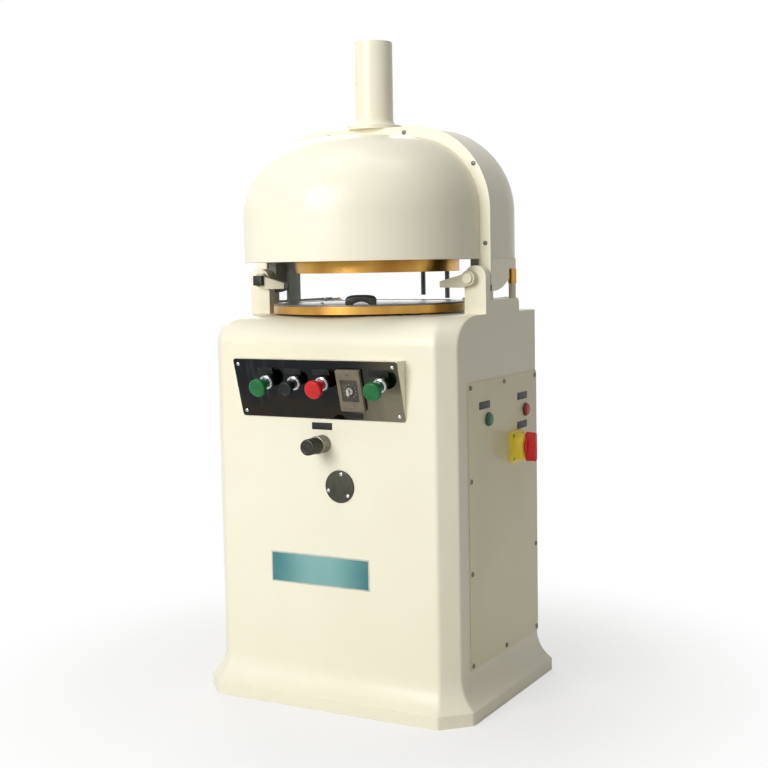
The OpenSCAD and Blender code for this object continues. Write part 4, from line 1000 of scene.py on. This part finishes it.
switch_plate_thick = 8
switch_screw_out = 26.5
pointer_up = 18
switch_collar_outline = [
    (0, 7, 0), (31, 7, 0.5), (31, 11, 1), (29.6, 25, 2), (25.5, 28, 2), (0, 28, 0),
]
switch_disc_outline = [
    (0, -20, 0), (5.9, -20, 0.4), (5.9, 28.3, 0.3), (18.6, 28.4, 1), (19.2, 30, 0.6), (19.2, 33.4, 1.6),
    (16.4, 35.3, 1), (0, 35.3, 0),
]
handle_sections = [
    (17, 66, 28.4), (17, 66, 33), (15.4, 65, 38), (15.2, 64.6, 47), (14.4, 63.6, 49.2), (12.4, 61.6, 50.5),
    (9, 58, 50.9),
]
switch_plate = [round_rect(55.4, 55.4, 1, level) for level in (-47.5, 0)]
switch_plate += slab(70, 70, corner=12, low=0, high=switch_plate_thick, ease=3)
switch_collar = lathe(switch_collar_outline, 72)
switch_shell = gather([(loft(switch_plate), switch_seat), (switch_collar, switch_seat)])
fit("isolator_shell", switch_shell, yellow_plastic, "root", None, ["isolator_base"])
screw_set(
    "isolator_screws", 3.2, 1.4,
    [on_side(switch_back + across * switch_screw_out, switch_height + up * switch_screw_out)
     @ Matrix.Translation((0, 0, switch_plate_thick)) for across in (-1, 1) for up in (-1, 1)],
    worn_steel, "root",
)
switch_disc = lathe(switch_disc_outline, 72)
switch_handle = loft([
    round_rect(width, height, width / 2 - 0.05, level) for width, height, level in handle_sections])
switch_grip = gather([(switch_disc, switch_seat), (switch_handle, switch_seat)])
fit("isolator_grip", switch_grip, handle_red, "isolator", None, ["isolator_handle"])
pointer_line = loft(slab(3, 16, corner=1.2, low=50.8, high=51.1, ease=0.1))
fit("isolator_pointer", pointer_line, pale_plastic, "isolator",
    switch_seat @ Matrix.Translation((0, pointer_up, 0)))


# Cable gland at the back

gland_nut_outline = [
    (6.2, -8.5, 0), (9.9, -8.5, 0.4), (9.9, 0, 0), (15, 0, 0.6), (15, 17, 1.4), (12, 18, 0.6), (6.2, 18, 0),
]
gland_dome_outline = [(6.2, 17, 0), (12, 17, 0.4), (12, 24, 1), (9.4, 29, 2.4), (7.2, 30, 0.6), (6.2, 30, 0)]
gland_nut = lathe(gland_nut_outline, 6, ring=True)
gland_dome = lathe(gland_dome_outline, flutes=16, depth=0.6, ring=True)
fit("gland_body", gather([(gland_nut, gland_seat), (gland_dome, gland_seat)]), black_plastic, "root",
    None, ["cable_gland"])


# Floor, sky and lamps

sky_level = 0.16
floor_half = 14
near_white = 0.6
shadow_reach = (0.4, 1.1)


def studio_floor():
    """Pale floor that keeps the shadow by the object and runs out to white."""
    grid = bmesh.new()
    bmesh.ops.create_grid(grid, x_segments=8, y_segments=8, size=floor_half)
    mesh = bpy.data.meshes.new("studio_floor")
    grid.to_mesh(mesh)
    grid.free()
    floor = bpy.data.objects.new("studio_floor", mesh)
    bpy.context.scene.collection.objects.link(floor)
    pale = Finish("studio_floor", Roughness=0.75)
    blot = pale.spots(scale=3, detail=4.0)
    pale.feed("Base Color", pale.mix(blot, (0.8, 0.79, 0.765), (0.77, 0.76, 0.73)))
    reach = pale.node("ShaderNodeVectorMath", {"operation": "LENGTH"}, {0: pale.place}, "Value")
    share = pale.to_the_eye() * (near_white + reach.rise(*shadow_reach) * (1 - near_white))
    white = pale.node("ShaderNodeEmission", {}, {"Color": (1, 1, 1), "Strength": 1.0})
    both = pale.node("ShaderNodeMixShader", {}, {0: share, 1: pale.skin, 2: white})
    pale.join(pale.out.inputs[0], both)
    mesh.materials.append(pale.material)


def studio_sky(level):
    """White all round to the eye and in reflections, and a soft even light otherwise."""
    world = bpy.data.worlds.new("studio_sky")
    bpy.context.scene.world = world
    world.use_nodes = True
    sky = Recipe(world.node_tree)
    soft = sky.node("ShaderNodeBackground", {}, {"Color": (1, 0.97, 0.9), "Strength": level})
    white = sky.node("ShaderNodeBackground", {}, {"Color": (1, 1, 1), "Strength": 1.0})
    both = sky.node("ShaderNodeMixShader", {}, {0: sky.to_the_eye(), 1: soft, 2: white})
    sky.node("ShaderNodeOutputWorld", {}, {0: both})


def soft_lamp(name, place, aim, power, size):
    """Square lamp that faces the point it aims at."""
    lamp = bpy.data.lights.new(name, "AREA")
    lamp.energy = power
    lamp.size = size
    holder = bpy.data.objects.new(name, lamp)
    holder.location = place
    holder.rotation_euler = (Vector(aim) - Vector(place)).to_track_quat("-Z", "Y").to_euler()
    bpy.context.scene.collection.objects.link(holder)


studio_floor()
studio_sky(sky_level)
soft_lamp("front_lamp", (-0.8, -3.9, 2.3), (0, 0, 0.75), power=131, size=2.2)
soft_lamp("top_lamp", (-0.4, -0.7, 3.8), (0, 0, 0.9), power=22, size=1.6)
soft_lamp("right_lamp", (1.0, -0.3, 3.4), (0.2, 0, 0.6), power=9, size=0.9)
soft_lamp("rear_lamp", (-2.6, 3.4, 2.6), (0, 0, 0.75), power=70, size=2.4)
